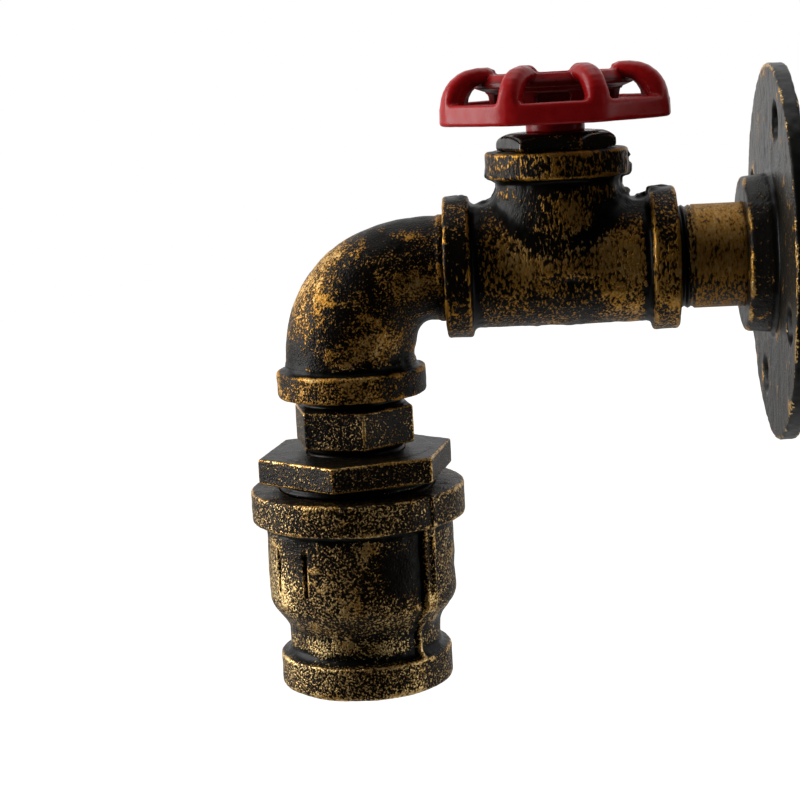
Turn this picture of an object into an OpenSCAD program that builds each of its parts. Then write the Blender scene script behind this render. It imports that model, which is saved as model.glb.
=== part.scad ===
// Pipe wall light: iron pipe fittings that carry a lampholder mouth down,
// with a valve wheel on the tee that turns a rotary switch.
// Sizes are in mm. The wall is the plane x = 0, the arm runs out along -X and +Z is up.
// The origin is the point where the arm's axis meets the wall.

/* [Pipe and threads] */
// Outside diameter of the arm pipe
pipe_od = 26.9; // [25:0.1:29]
// Wall of the arm pipe
pipe_wall = 2.65; // [2:0.05:3]
// How far a male thread lies below the pipe's surface
thread_cut = 0.25; // [0.1:0.05:0.6]
// Radial gap between a male thread and the fitting that it screws into
thread_gap = 0.05; // [0.02:0.01:0.1]
// How far a pipe thread enters a fitting
thread_reach = 13; // [11:0.5:14]
// Thread left showing beside the tee
thread_show = 1.8; // [0.5:0.1:3]

/* [Castings] */
// Body wall of the tee outside its thread
fitting_wall = 2.95; // [2.5:0.05:4]
// Band wall at the mouths of the tee
band_wall = 5.3; // [5:0.05:7]
// Width of the bands at the mouths of the tee
band_w = 6.8; // [5:0.1:8]
// Rounding of the casting edges
edge_r = 0.7; // [0.4:0.1:0.8]
// Hollow fillet beside the bands
fillet_r = 1.3; // [0.6:0.1:1.4]
// Hollow fillet where the tee's branch meets its run
saddle_r = 4.2; // [2:0.1:4.6]

/* [Wall flange] */
// Diameter of the flange
flange_od = 97; // [92:1:120]
// Thickness of the flange plate
flange_t = 4; // [3:0.25:6]
// Wall of the flange hub outside its thread
hub_wall = 6.8; // [5:0.1:9]
// How far the hub stands out from the plate
hub_h = 7.2; // [6:0.1:12]
// Diameter of the circle of screw holes
screw_circle = 74; // [70:1:78]
// Diameter of each screw hole
screw_hole = 6.5; // [4:0.1:7]
// Diameter of each countersink
screw_sink = 12; // [9:0.1:13]
// Number of screw holes
screw_count = 4; // [3:1:6]
// Turn of the screw holes away from upright
screw_turn = 22.5; // [0:0.5:90]

/* [Tee] */
// Distance from the wall to the tee's branch
tee_x = 58.2; // [58:0.1:70]
// Half length of the tee's run
tee_half = 30; // [29:0.1:34]
// Height of the branch mouth above the arm's axis
tee_rise = 29.3; // [28.5:0.1:33]

/* [Bonnet and switch] */
// Bonnet hexagon across its flats
bonnet_hex = 27; // [27:0.1:32]
// Height of the bonnet hexagon
bonnet_h = 4.6; // [4.5:0.1:8]
// How far the bonnet's thread enters the branch
bonnet_reach = 12; // [12:0.5:13]
// Turn of the bonnet hexagon
bonnet_turn = -6.9; // [-30:0.1:30]
// Diameter of the switch stem
stem_d = 6; // [5:0.1:6.6]
// Radial running gap round the stem
stem_gap = 0.05; // [0.02:0.01:0.1]
// Diameter of the switch case
switch_d = 20; // [19:0.1:20]
// Angle that the switch turns through
switch_turn = 270; // [90:5:280]

/* [Valve wheel] */
// Diameter of the wheel across its ribs
wheel_od = 62.4; // [58:0.2:70]
// Height of the wheel
wheel_h = 14.2; // [14:0.1:18]
// Height of the wheel above the branch mouth
wheel_lift = 7.4; // [7:0.1:10]
// Height of the wheel's outer band
wheel_band_h = 5.4; // [4:0.1:6]
// Thickness of the wheel's outer band
wheel_band_t = 3.2; // [2.5:0.1:4]
// Width of each rib
rib_w = 5.6; // [4:0.1:6.5]
// Number of ribs
ribs = 8; // [6:1:9]
// Turn of the ribs
rib_turn = -24.2; // [-30:0.1:30]
// Diameter of the wheel's hub
wheel_hub_d = 14.6; // [12:0.1:16]
// Diameter of the dish's upper ring
dish_d = 39; // [37:0.2:41]

/* [Street elbow] */
// Straight neck between the tee and the bend
elbow_neck = 3.9; // [2:0.1:8]
// Radius of the bend's centre line
bend_r = 22.3; // [22:0.1:25]
// Height of the elbow's mouth below the arm's axis
elbow_drop = 32.2; // [32:0.1:40]
// Body wall of the elbow at its mouth, outside the thread
elbow_wall = 3.8; // [3:0.05:4.2]
// Band wall at the elbow's mouth
elbow_band_wall = 6.5; // [6.4:0.05:8]
// Gap between the elbow's shoulder and the tee
swivel_gap = 0.3; // [0.2:0.05:0.6]

/* [Hexagon nipple] */
// Nipple hexagon across its flats
nipple_hex = 29; // [28.5:0.1:34]
// Height of the nipple hexagon
nipple_hex_h = 10; // [8:0.1:12]
// Thread left showing above the hexagon
nipple_top_show = 2.9; // [1:0.1:4]
// Thread left showing below the hexagon
nipple_low_show = 2.1; // [1:0.1:4]
// Turn of the nipple hexagon
nipple_turn = -16.8; // [-30:0.1:30]
// Wall of the nipple under its thread
nipple_wall = 3.4; // [3:0.1:4]

/* [Hexagon bushing] */
// Bushing hexagon across its flats
bushing_hex = 46.5; // [46:0.1:52]
// Height of the bushing hexagon
bushing_hex_h = 6.8; // [6:0.1:10]
// Thread left showing below the hexagon
bushing_show = 2.7; // [1:0.1:4]
// Diameter of the bushing's outer thread
bushing_thread_d = 41.5; // [41:0.1:43]
// How far the bushing enters the coupling
bushing_reach = 12; // [11.5:0.5:13]
// Turn of the bushing hexagon
bushing_turn = -39.1; // [-60:0.1:60]

/* [Reducing coupling] */
// Height of the coupling
cup_h = 53.5; // [53:0.5:60]
// Wall of the upper rim outside the thread
cup_rim_wall = 7.7; // [7:0.1:9]
// Height of the upper rim
cup_rim_h = 8.5; // [7:0.1:10]
// Body wall outside the thread
cup_wall = 4.2; // [3.8:0.1:4.6]
// Depth at which the body starts to narrow
cup_taper_from = 29.6; // [29:0.1:32]
// Depth at which the narrow neck starts
cup_taper_to = 38; // [37.5:0.1:40]
// Diameter of the mouth
cup_mouth_d = 33.2; // [33:0.1:34]
// Wall of the neck outside the mouth
cup_neck_wall = 3.6; // [3:0.1:4.2]
// Wall of the lower rim outside the mouth
cup_foot_wall = 6.4; // [6.3:0.1:8]
// Height of the lower rim
cup_foot_h = 9; // [8:0.1:10]
// Width of each side rib
cup_rib_w = 3; // [2:0.1:4]
// How far each side rib stands out
cup_rib_out = 1.9; // [1:0.1:2.4]
// Turn of the side ribs
cup_rib_turn = -42.8; // [-90:0.1:90]

/* [Lampholder] */
// Inside diameter of the screw shell
shell_d = 26.6; // [26.4:0.1:26.8]
// Length of the screw shell
shell_h = 15.5; // [14:0.5:16]
// Depth of the lampholder's mouth below the coupling's top
holder_mouth = 46; // [45:0.5:48]
// Diameter of the lampholder's barrel
barrel_d = 31.8; // [31.4:0.1:32]
// Diameter of the lampholder's cap
cap_d = 37; // [35:0.1:38]
// Diameter of the hollow thread that carries the lampholder
tube_d = 10; // [9.6:0.1:10.4]
// Bore of that hollow thread
tube_bore = 7.6; // [7:0.1:8]

/* [Wiring] */
// Diameter of the sheathed lamp flex
flex_d = 5.6; // [5.4:0.1:6.4]
// Diameter of a single core
core_d = 2.2; // [1.6:0.1:2.2]
// Width of the terminal block
block_w = 17; // [14:0.5:17.5]
// Height of the terminal block
block_h = 9; // [8:0.5:9.5]
// Length of the terminal block
block_l = 14; // [12:0.5:14]

/* [Hidden] */
$fn = 96;

// Radius of a male pipe thread, of its female seat and of the pipe's bore
thread_r = pipe_od / 2 - thread_cut;
seat_r = thread_r + thread_gap;
pipe_r = pipe_od / 2;
bore_r = pipe_r - pipe_wall;

// Distance from the wall to the arm's main planes
hub_face = flange_t + hub_h;
nipple_from = 3;
tee_from = tee_x - tee_half;
tee_to = tee_x + tee_half;
swivel_x = tee_to - thread_reach;
bend_x = tee_to + elbow_neck;
head_x = -(bend_x + bend_r);

// Radii of the tee, of its waterway and of the elbow
body_r = thread_r + fitting_wall;
band_r = thread_r + band_wall;
way_r = thread_r - 1.2;
elbow_r = thread_r + elbow_wall;
elbow_band_r = thread_r + elbow_band_wall;
elbow_band_w = band_w + 0.2;
elbow_bore_r = thread_r - 3;

// Heights on the wheel's axis
bonnet_top = tee_rise + bonnet_h;
bonnet_roof = 3;
cavity_top = bonnet_top - bonnet_roof;
cavity_low = tee_rise - bonnet_reach;
cavity_r = switch_d / 2 + 0.2;
ring_h = 2;
cover_h = 2;
case_low = cavity_low + ring_h + cover_h;
case_wall = 1.5;
case_in_r = switch_d / 2 - case_wall;
stem_r = stem_d / 2;
stem_low = case_low + 1.1;
rotor_low = stem_low + 0.6;
rotor_h = 3.6;
rotor_r = case_in_r - 1;
lug_angle = 30;
stop_angle = 358 - switch_turn - lug_angle;
wheel_z = tee_rise + wheel_lift;
wheel_gap = 0.3;
seal_h = 1.4;

// Shape of the wheel: all heights are from its lower face
wheel_r = wheel_od / 2;
dish_r = dish_d / 2;
ring_top = wheel_h - 1.9;
dish_in = dish_r - 2.6;
floor_top = 5.2;
boss_top = 6.4;
square_w = stem_d * 0.72;
square_from = 1.5;
fit_gap = 0.05;
washer_h = 1;
nut_h = 3.2;
nut_hex = 8;
nut_thread_r = 2;

// Heights on the lamp head's axis
plug_h = 8;
hex_top = -(elbow_drop + nipple_top_show);
hex_low = hex_top - nipple_hex_h;
bushing_top = hex_low - nipple_low_show;
bushing_low = bushing_top - bushing_hex_h;
cup_top = bushing_low - bushing_show;
bushing_end = cup_top - bushing_reach;
cup_low = cup_top - cup_h;
nipple_bore_r = thread_r - nipple_wall;
lower_reach = min(thread_reach - 1, bushing_top - bushing_end - plug_h - 1);

// Radii of the coupling
cup_thread_r = bushing_thread_d / 2;
cup_seat_r = cup_thread_r + thread_gap;
cup_r = cup_thread_r + cup_wall;
cup_rim_r = cup_thread_r + cup_rim_wall;
mouth_r = cup_mouth_d / 2;
cup_neck_r = mouth_r + cup_neck_wall;
cup_foot_r = mouth_r + cup_foot_wall;
cup_seat_depth = bushing_reach + 1;

// Lampholder: heights from the coupling's top downwards
tag_h = 0.6;
lock_h = 2.4;
lock_hex = 14;
cap_top = bushing_reach + tag_h + lock_h + 0.2;
cap_wall = 1.6;
cap_r = cap_d / 2;
cap_low = holder_mouth - 20;
tube_r = tube_d / 2;
tube_from = bushing_reach - plug_h - 1.5;
tube_to = cap_top + 4.4;
barrel_r = barrel_d / 2;
shell_r = shell_d / 2;
shell_t = 0.5;
shell_low = holder_mouth - 0.8;
shell_back_r = shell_r - 4.5;
shell_top = shell_low - shell_h;
contact_seat = cap_low - 0.3;
base_h = 2.5;
holder_plate = cap_low - base_h;
holder_screw_r = 1.6;
holder_screw_x = 9;
holder_head_h = 1.4;
rivet_r = 1.5;
flex_end = tube_to + 0.6;

// Terminal block: it lies on the inside of the nipple
block_from = nipple_from + 12;
block_z = -sqrt(pow(bore_r, 2) - pow(block_w / 2, 2)) + 0.05;
block_mid = block_z + block_h / 2;
pole_pitch = block_w / 3;

// Ends of the wires
block_end = block_from + block_l;
sheath_x = tee_x + 3.5;
core_pitch = (flex_d - core_d) / 2 - 0.3;
tab_x = switch_d / 4;
tab_low = cavity_low - 3.6;
tab_t = 0.8;
tab_w = 3;

bronze = [0.30, 0.22, 0.13];
black = [0.06, 0.06, 0.06];
red = [0.42, 0.02, 0.03];
steel = [0.62, 0.62, 0.60];
brass = [0.78, 0.60, 0.25];
porcelain = [0.90, 0.89, 0.86];
phenolic = [0.10, 0.07, 0.05];
nylon = [0.88, 0.88, 0.84];

// Points on an arc, for half sections
function arc(x, y, r, from, to, n = 5) =
  [for (i = [0 : n]) [x + r * cos(from + (to - from) * i / n), y + r * sin(from + (to - from) * i / n)]];

function backwards(p) = [for (i = [len(p) - 1 : -1 : 0]) p[i]];

// The same half section standing on its head, at height h
function upended(p, h) = [for (q = backwards(p)) [q[0], h - q[1]]];

// Half section of a mouth band that ends in a fillet on the body
function band_points(r, w, body) = concat(
  arc(r - edge_r, edge_r, edge_r, -90, 0),
  arc(r - edge_r, w - edge_r, edge_r, 0, 90),
  arc(body + fillet_r, w + fillet_r, fillet_r, -90, -180)
);

function unit(v) = v / norm(v);
function smooth(t) = t * t * (3 - 2 * t);

// Direction of a path at point i
function heading(p, i) = unit(p[min(i + 1, len(p) - 1)] - p[max(i - 1, 0)]);

// Smooth path through hand-set points, with n steps between two of them
function through(a, b, c, d, t) =
  0.5 * (2 * b + (c - a) * t + (2 * a - 5 * b + 4 * c - d) * t * t + (3 * b - a - 3 * c + d) * t * t * t);
function path_through(p, n = 4) = concat(
  [for (i = [0 : len(p) - 2]) for (k = [0 : n - 1])
    through(p[max(i - 1, 0)], p[i], p[i + 1], p[min(i + 2, len(p) - 1)], k / n)],
  [p[len(p) - 1]]
);

// Solid swept along a path: p gives the points and r the radius at each of them
module swept(p, r, sides) {
  n = len(p);
  points = [for (i = [0 : n - 1])
    let (t = heading(p, i), u = unit(cross([0, 1, 0], t)), v = cross(t, u))
    for (k = [0 : sides - 1]) p[i] + r[i] * (cos(360 * k / sides) * u + sin(360 * k / sides) * v)];
  sides_of = [for (i = [0 : n - 2]) for (k = [0 : sides - 1])
    let (a = i * sides + k, b = i * sides + (k + 1) % sides)
    each [[a, a + sides, b + sides], [a, b + sides, b]]];
  first_cap = [for (k = [0 : sides - 1]) k];
  last_cap = [for (k = [sides - 1 : -1 : 0]) (n - 1) * sides + k];
  polyhedron(points, concat(sides_of, [first_cap, last_cap]), convexity = 6);
}

// Round wire through hand-set points
module wire(p, d) {
  route = path_through(p);
  swept(route, [for (q = route) d / 2], 8);
}

// Solid of revolution with its axis on the arm, from distance x outwards
module on_arm(x) {
  translate([-x, 0, 0])
    rotate([0, -90, 0])
      children();
}

// Solid on the wheel's axis, at height z
module on_branch(z) {
  translate([-tee_x, 0, z])
    children();
}

// Solid on the lamp head's axis, at height z
module on_head(z) {
  translate([head_x, 0, z])
    children();
}

// Solid on the lamp head's axis, built downwards from depth d below the coupling's top
module in_cup(d) {
  on_head(cup_top - d)
    mirror([0, 0, 1])
      children();
}

module hexagon(flats, h) {
  cylinder(r = flats / sqrt(3), h = h, $fn = 6);
}

// Hexagon with the corners of its upper end turned off
module turned_hexagon(flats, h) {
  corner = flats / sqrt(3);
  slope = 0.58;
  run = corner - flats / 2 + 0.3;
  intersection() {
    hexagon(flats, h);
    rotate_extrude()
      polygon([[0, 0], [corner + 1, 0], [corner + 1, h - (run + 1) * slope], [corner - run, h], [0, h]]);
  }
}

module ring(outer, inner, h) {
  difference() {
    cylinder(r = outer, h = h);
    translate([0, 0, -1])
      cylinder(r = inner, h = h + 2);
  }
}

module wall_flange() {
  hub_r = thread_r + hub_wall;
  flange_r = flange_od / 2;
  color(bronze)
    difference() {
      on_arm(0)
        rotate_extrude()
          polygon(concat(
            [[0, 0], [flange_r, 0]],
            arc(flange_r - edge_r, flange_t - edge_r, edge_r, 0, 90),
            arc(hub_r + fillet_r, flange_t + fillet_r, fillet_r, -90, -180),
            arc(hub_r - edge_r, hub_face - edge_r, edge_r, 0, 90),
            [[0, hub_face]]
          ));
      on_arm(-1)
        cylinder(r = seat_r, h = hub_face + 2);
      for (i = [0 : screw_count - 1])
        rotate([360 * i / screw_count + screw_turn, 0, 0])
          translate([0, 0, screw_circle / 2])
            on_arm(0)
              screw_way();
    }
}

// Screw hole with a countersink in the front of the flange
module screw_way() {
  sink_h = (screw_sink - screw_hole) / 2;
  translate([0, 0, -1])
    cylinder(d = screw_hole, h = flange_t + 2);
  translate([0, 0, flange_t - sink_h])
    cylinder(d1 = screw_hole, d2 = screw_sink, h = sink_h);
  translate([0, 0, flange_t])
    cylinder(d = screw_sink, h = 1);
}

module flange_nipple() {
  nipple_to = tee_from + thread_reach;
  step = pipe_r - thread_r;
  plain_from = hub_face - nipple_from + 0.6;
  plain_to = tee_from - thread_show - nipple_from;
  color(bronze)
    on_arm(nipple_from)
      rotate_extrude()
        polygon([
          [bore_r, 0], [thread_r, 0], [thread_r, plain_from], [pipe_r, plain_from + step],
          [pipe_r, plain_to - step], [thread_r, plain_to],
          [thread_r, nipple_to - nipple_from], [bore_r, nipple_to - nipple_from]
        ]);
}

module entry_bush() {
  lip = 1.2;
  sleeve = 8;
  bush_r = bore_r - 0.1;
  way = bush_r - 1.6;
  color(nylon)
    on_arm(nipple_from - lip)
      rotate_extrude()
        polygon([
          [way, 0], [thread_r - 0.4, 0], [thread_r - 0.4, lip], [bush_r, lip],
          [bush_r, lip + sleeve], [way, lip + sleeve]
        ]);
}

module terminal_block() {
  wire_hole = core_d + 0.5;
  screw_bore = 3.2;
  color(nylon)
    difference() {
      translate([-block_end, -block_w / 2, block_z])
        cube([block_l, block_w, block_h]);
      for (i = [-1 : 1]) {
        translate([0, i * pole_pitch, block_mid - 1.2])
          on_arm(block_from - 1)
            cylinder(d = wire_hole, h = block_l + 2);
        for (x = [block_from + 3.5, block_end - 3.5])
          translate([-x, i * pole_pitch, block_mid + 0.6])
            cylinder(d = screw_bore, h = block_h);
      }
    }
}

module terminal_screws() {
  screw_h = 2.6;
  color(steel)
    for (i = [-1 : 1])
      for (x = [block_from + 3.5, block_end - 3.5])
        translate([-x, i * pole_pitch, block_mid + 0.65])
          difference() {
            cylinder(r = 1.5, h = screw_h);
            translate([-2, -0.3, screw_h - 0.6])
              cube([4, 0.6, 1]);
          }
}

// Points where a core leaves the terminal block's pole i
function pole_end(i) = [-block_end + 3, i * pole_pitch, block_mid - 1.2];

// Point where core i goes into the sheathed flex, and one just before it
function sheath_end(i) =
  [-sheath_x - 0.6, core_pitch * cos(270 + 120 * i), core_pitch * sin(270 + 120 * i)];
function sheath_lead(i) = sheath_end(i) + [6, 0, 0];

module live_wire() {
  color([0.45, 0.22, 0.08])
    wire([
      pole_end(-1), pole_end(-1) - [4, 0, 0], [-tee_from - 9, -4.5, -1],
      [-tee_x + 9, -3.6, 3], [-tee_x + tab_x + 0.6, -0.4, tab_low - 4],
      [-tee_x + tab_x + 0.6, 0, tab_low - 0.4]
    ], core_d);
}

module neutral_wire() {
  color([0.10, 0.20, 0.55])
    wire([
      pole_end(1), pole_end(1) - [4, 0, 0], [-tee_from - 12, 4, -2.5],
      [-tee_x + 9, 3, -1.5], sheath_lead(1), sheath_end(1)
    ], core_d);
}

module earth_wire() {
  color([0.15, 0.50, 0.15])
    wire([
      pole_end(0), pole_end(0) - [4, 0, 0], [-tee_from - 12, 0, -4.5],
      [-tee_x + 10, 0, -4], sheath_lead(0), sheath_end(0)
    ], core_d);
}

module switched_wire() {
  color([0.08, 0.08, 0.08])
    wire([
      [-tee_x - tab_x - 0.6, 0, tab_low - 0.4], [-tee_x - tab_x - 0.2, -1, tab_low - 3.4],
      [-tee_x + 0.5, -2.6, 4.2], [-tee_x + 3.4, -2.4, 1.2], sheath_lead(-1) - [2.2, 0, 0], sheath_end(-1)
    ], core_d);
}

module arm_flex() {
  color(black)
    on_arm(sheath_x)
      difference() {
        cylinder(d = flex_d, h = swivel_x - sheath_x - swivel_gap);
        translate([0, 0, -1])
          cylinder(r = flex_d / 2 - 0.2, h = 2);
      }
}

// Fillet between branch and run on the +X side: at each y it rounds the corner of the two cylinders
module saddle() {
  slices = 16;
  steps = 6;
  sink = 0.25;
  root = 1;
  reach = 78;
  n = steps + 4;
  points = [for (i = [0 : slices])
    let (a = reach * (2 * i / slices - 1), w = body_r * cos(a) - sink, s = saddle_r * pow(cos(a), 2))
    each concat(
      [for (q = arc(w + s, w + s, s, 180, 270, steps)) [q[0], body_r * sin(a), q[1]]],
      [for (q = [[w + s, w - root], [w - root, w - root], [w - root, w + s]]) [q[0], body_r * sin(a), q[1]]]
    )];
  walls = [for (i = [0 : slices - 1]) for (k = [0 : n - 1])
    let (a = i * n + k, b = i * n + (k + 1) % n)
    each [[a, b, b + n], [a, b + n, a + n]]];
  first_cap = [for (k = [n - 1 : -1 : 0]) k];
  last_cap = [for (k = [0 : n - 1]) slices * n + k];
  on_branch(0)
    polyhedron(points, concat(walls, [first_cap, last_cap]), convexity = 6);
}

module pipe_tee() {
  mouth = band_points(band_r, band_w, body_r);
  seat_h = thread_reach + 1;
  color(bronze)
    difference() {
      union() {
        on_arm(tee_from)
          rotate_extrude()
            polygon(concat([[0, 0]], mouth, upended(mouth, 2 * tee_half), [[0, 2 * tee_half]]));
        on_branch(0)
          rotate_extrude()
            polygon(concat([[0, 0], [body_r, 0]], upended(mouth, tee_rise), [[0, tee_rise]]));
        saddle();
        translate([-2 * tee_x, 0, 0])
          mirror([1, 0, 0])
            saddle();
      }
      on_arm(tee_from - 1)
        cylinder(r = way_r, h = 2 * tee_half + 2);
      on_arm(tee_from - 1)
        cylinder(r = seat_r, h = seat_h + 1);
      on_arm(tee_to - seat_h)
        cylinder(r = seat_r, h = seat_h + 1);
      on_branch(0)
        cylinder(r = way_r, h = tee_rise + 1);
      on_branch(tee_rise - seat_h)
        cylinder(r = seat_r, h = seat_h + 1);
    }
}

module bonnet() {
  color(black)
    on_branch(0)
      difference() {
        union() {
          translate([0, 0, tee_rise])
            rotate([0, 0, bonnet_turn])
              turned_hexagon(bonnet_hex, bonnet_h);
          translate([0, 0, cavity_low])
            cylinder(r = thread_r, h = bonnet_reach);
        }
        translate([0, 0, cavity_low - 1])
          cylinder(r = cavity_r, h = cavity_top - cavity_low + 1);
        cylinder(r = stem_r + stem_gap, h = bonnet_top + 1);
        translate([0, 0, cavity_top + 0.8])
          cylinder(r = stem_r + 1.6, h = seal_h);
      }
}

module stem_seal() {
  color(black)
    on_branch(cavity_top + 0.85)
      ring(stem_r + 1.55, stem_r + 2 * stem_gap, seal_h - 0.1);
}

module switch_case() {
  case_h = cavity_top - case_low;
  color(phenolic)
    on_branch(case_low)
      difference() {
        union() {
          difference() {
            cylinder(d = switch_d, h = case_h - 0.1);
            translate([0, 0, -1])
              cylinder(r = case_in_r, h = case_h - case_wall + 1);
          }
          rotate_extrude(angle = stop_angle, start = 1)
            translate([rotor_r + 0.2, 0])
              square([case_in_r - rotor_r, case_h - case_wall]);
        }
        cylinder(r = stem_r + stem_gap, h = case_h);
      }
}

module switch_cover() {
  color(phenolic)
    on_branch(case_low - cover_h)
      difference() {
        cylinder(d = switch_d, h = cover_h);
        for (s = [-1, 1])
          translate([s * tab_x - tab_t / 2 - fit_gap, -tab_w / 2 - fit_gap, -1])
            cube([tab_t + 2 * fit_gap, tab_w + 2 * fit_gap, cover_h + 2]);
      }
}

module switch_contacts() {
  color(brass)
    on_branch(0)
      for (s = [-1, 1])
        translate([s * tab_x, 0, 0]) {
          translate([-tab_t / 2, -tab_w / 2, tab_low])
            cube([tab_t, tab_w, case_low - tab_low]);
          translate([-1.4, -tab_w / 2, case_low])
            cube([2.8, tab_w, 1]);
        }
}

module switch_ring() {
  color(steel)
    on_branch(cavity_low)
      difference() {
        ring(cavity_r - fit_gap, tab_x + 2, ring_h);
        for (a = [0, 90])
          rotate([0, 0, a])
            translate([-switch_d, -0.8, -1])
              cube([2 * switch_d, 1.6, 1.8]);
      }
}

// One arched rib of the wheel, in its own radial plane
module wheel_rib() {
  bow = 7.5;
  foot = 6;
  arch = 4.6;
  top_in = dish_r - 1.6;
  rotate([90, 0, 0])
    translate([0, 0, -rib_w / 2])
      linear_extrude(height = rib_w)
        polygon(concat(
          [[wheel_r - foot, 0], [wheel_r, 0]],
          arc(wheel_r - bow, wheel_h - bow, bow, 0, 90, 8),
          [[top_in, wheel_h], [top_in, ring_top - 1.6], [dish_r, ring_top - 1.8]],
          arc(wheel_r - foot - arch, ring_top - 1.8 - arch, arch, 90, 0, 6)
        ));
}

module handwheel() {
  hub_r = wheel_hub_d / 2;
  hub_low = bonnet_top + wheel_gap - wheel_z;
  color(red)
    on_branch(wheel_z)
      difference() {
        union() {
          rotate([0, 0, rib_turn])
            difference() {
              cylinder(r = wheel_r, h = wheel_band_h, $fn = ribs);
              translate([0, 0, -1])
                cylinder(r = wheel_r - wheel_band_t, h = wheel_band_h + 2, $fn = ribs);
            }
          for (i = [0 : ribs - 1])
            rotate([0, 0, rib_turn + 360 * i / ribs])
              wheel_rib();
          rotate_extrude()
            polygon([
              [0, hub_low], [hub_r, hub_low], [hub_r, 1], [dish_r - 5, 2.2], [dish_r - 2, 6.2],
              [dish_r, ring_top - 2.4], [dish_r - 1.2, ring_top], [dish_in - 0.6, ring_top],
              [dish_in - 1.4, ring_top - 2.4], [dish_in - 4, floor_top],
              [stem_r + 4, floor_top], [stem_r + 3.4, boss_top], [0, boss_top]
            ]);
        }
        translate([0, 0, hub_low - 1])
          cylinder(r = stem_r + fit_gap, h = square_from - hub_low + 1);
        translate([-square_w / 2 - fit_gap, -square_w / 2 - fit_gap, square_from - 1])
          cube([square_w + 2 * fit_gap, square_w + 2 * fit_gap, boss_top]);
      }
}

module stem() {
  square_h = boss_top - square_from - 0.3;
  thread_h = washer_h + nut_h + 1.6;
  color(steel)
    on_branch(0) {
      translate([0, 0, stem_low])
        cylinder(r = stem_r, h = wheel_z + square_from - stem_low - fit_gap);
      translate([-square_w / 2, -square_w / 2, wheel_z + square_from - fit_gap])
        cube([square_w, square_w, square_h]);
      translate([0, 0, wheel_z + square_from - fit_gap + square_h])
        cylinder(r = nut_thread_r, h = thread_h);
    }
}

module wheel_washer() {
  color(steel)
    on_branch(wheel_z + boss_top)
      ring(stem_r + 2.6, nut_thread_r + 0.15, washer_h);
}

module wheel_nut() {
  color(steel)
    on_branch(wheel_z + boss_top + washer_h)
      difference() {
        turned_hexagon(nut_hex, nut_h);
        translate([0, 0, -1])
          cylinder(r = nut_thread_r + fit_gap, h = nut_h + 2);
      }
}

module switch_rotor() {
  color(phenolic)
    on_branch(rotor_low)
      difference() {
        union() {
          cylinder(r = rotor_r, h = rotor_h);
          rotate_extrude(angle = -lug_angle)
            translate([stem_r + 1, 0])
              square([case_in_r - 0.2 - stem_r - 1, rotor_h]);
        }
        translate([0, 0, -1])
          cylinder(r = stem_r + fit_gap, h = rotor_h + 2);
      }
}

module rotor_bridge() {
  bridge_h = 0.6;
  color(brass)
    on_branch(rotor_low - bridge_h)
      difference() {
        union() {
          translate([-rotor_r + 1, -1.6, 0])
            cube([2 * rotor_r - 2, 3.2, bridge_h]);
          cylinder(r = stem_r + 1.2, h = bridge_h);
        }
        translate([0, 0, -1])
          cylinder(r = stem_r + fit_gap, h = bridge_h + 2);
      }
}

module street_elbow() {
  sides = 48;
  steps = 16;
  neck_r = thread_r + 0.35;
  grow = 0.75;
  shoulder = tee_to + swivel_gap;
  low_z = -(elbow_drop - 2);
  bend = [for (i = [0 : steps])
    [-bend_x - bend_r * sin(90 * i / steps), 0, bend_r * cos(90 * i / steps) - bend_r]];
  route = concat([[-shoulder - 0.6, 0, 0]], bend, [[head_x, 0, low_z]]);
  sizes = concat(
    [neck_r],
    [for (i = [0 : steps]) neck_r + (elbow_r - neck_r) * smooth(min(1, i / steps / grow))],
    [elbow_r]
  );
  seat_h = thread_reach + 1;
  color(bronze)
    difference() {
      union() {
        swept(route, sizes, sides);
        on_arm(shoulder)
          cylinder(r = neck_r + 0.3, h = 1.4);
        on_arm(swivel_x)
          cylinder(r = thread_r, h = shoulder - swivel_x + 1);
        on_head(-elbow_drop)
          rotate_extrude()
            polygon(concat(
              [[0, 0]],
              band_points(elbow_band_r, elbow_band_w, elbow_r + 0.05),
              [[0, elbow_band_w + fillet_r]]
            ));
      }
      on_arm(swivel_x - 1)
        cylinder(r = elbow_bore_r, h = bend_x - swivel_x + 1.01);
      translate([-bend_x, 0, -bend_r])
        rotate([90, 0, 0])
          rotate([0, 0, 90])
            rotate_extrude(angle = 90)
              translate([bend_r, 0])
                circle(r = elbow_bore_r);
      on_head(-elbow_drop - 1)
        cylinder(r = elbow_bore_r, h = elbow_drop - bend_r + 1.01);
      on_head(-elbow_drop - 1)
        cylinder(r = seat_r, h = min(seat_h, elbow_drop - bend_r + 4) + 1);
    }
}

module hex_nipple() {
  upper_reach = min(thread_reach, elbow_drop - bend_r + 3);
  top = -elbow_drop + upper_reach;
  low = bushing_top - lower_reach;
  color(bronze)
    on_head(0)
      difference() {
        union() {
          translate([0, 0, low])
            cylinder(r = thread_r, h = top - low);
          translate([0, 0, hex_low])
            rotate([0, 0, nipple_turn])
              hexagon(nipple_hex, nipple_hex_h);
        }
        translate([0, 0, low - 1])
          cylinder(r = nipple_bore_r, h = top - low + 2);
      }
}

module hex_bushing() {
  color(bronze)
    on_head(0)
      difference() {
        union() {
          translate([0, 0, bushing_low])
            rotate([0, 0, bushing_turn])
              hexagon(bushing_hex, bushing_hex_h);
          translate([0, 0, bushing_end])
            cylinder(r = cup_thread_r, h = bushing_low - bushing_end);
        }
        translate([0, 0, bushing_end - 1])
          cylinder(r = seat_r, h = bushing_top - bushing_end + 2);
      }
}

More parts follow.
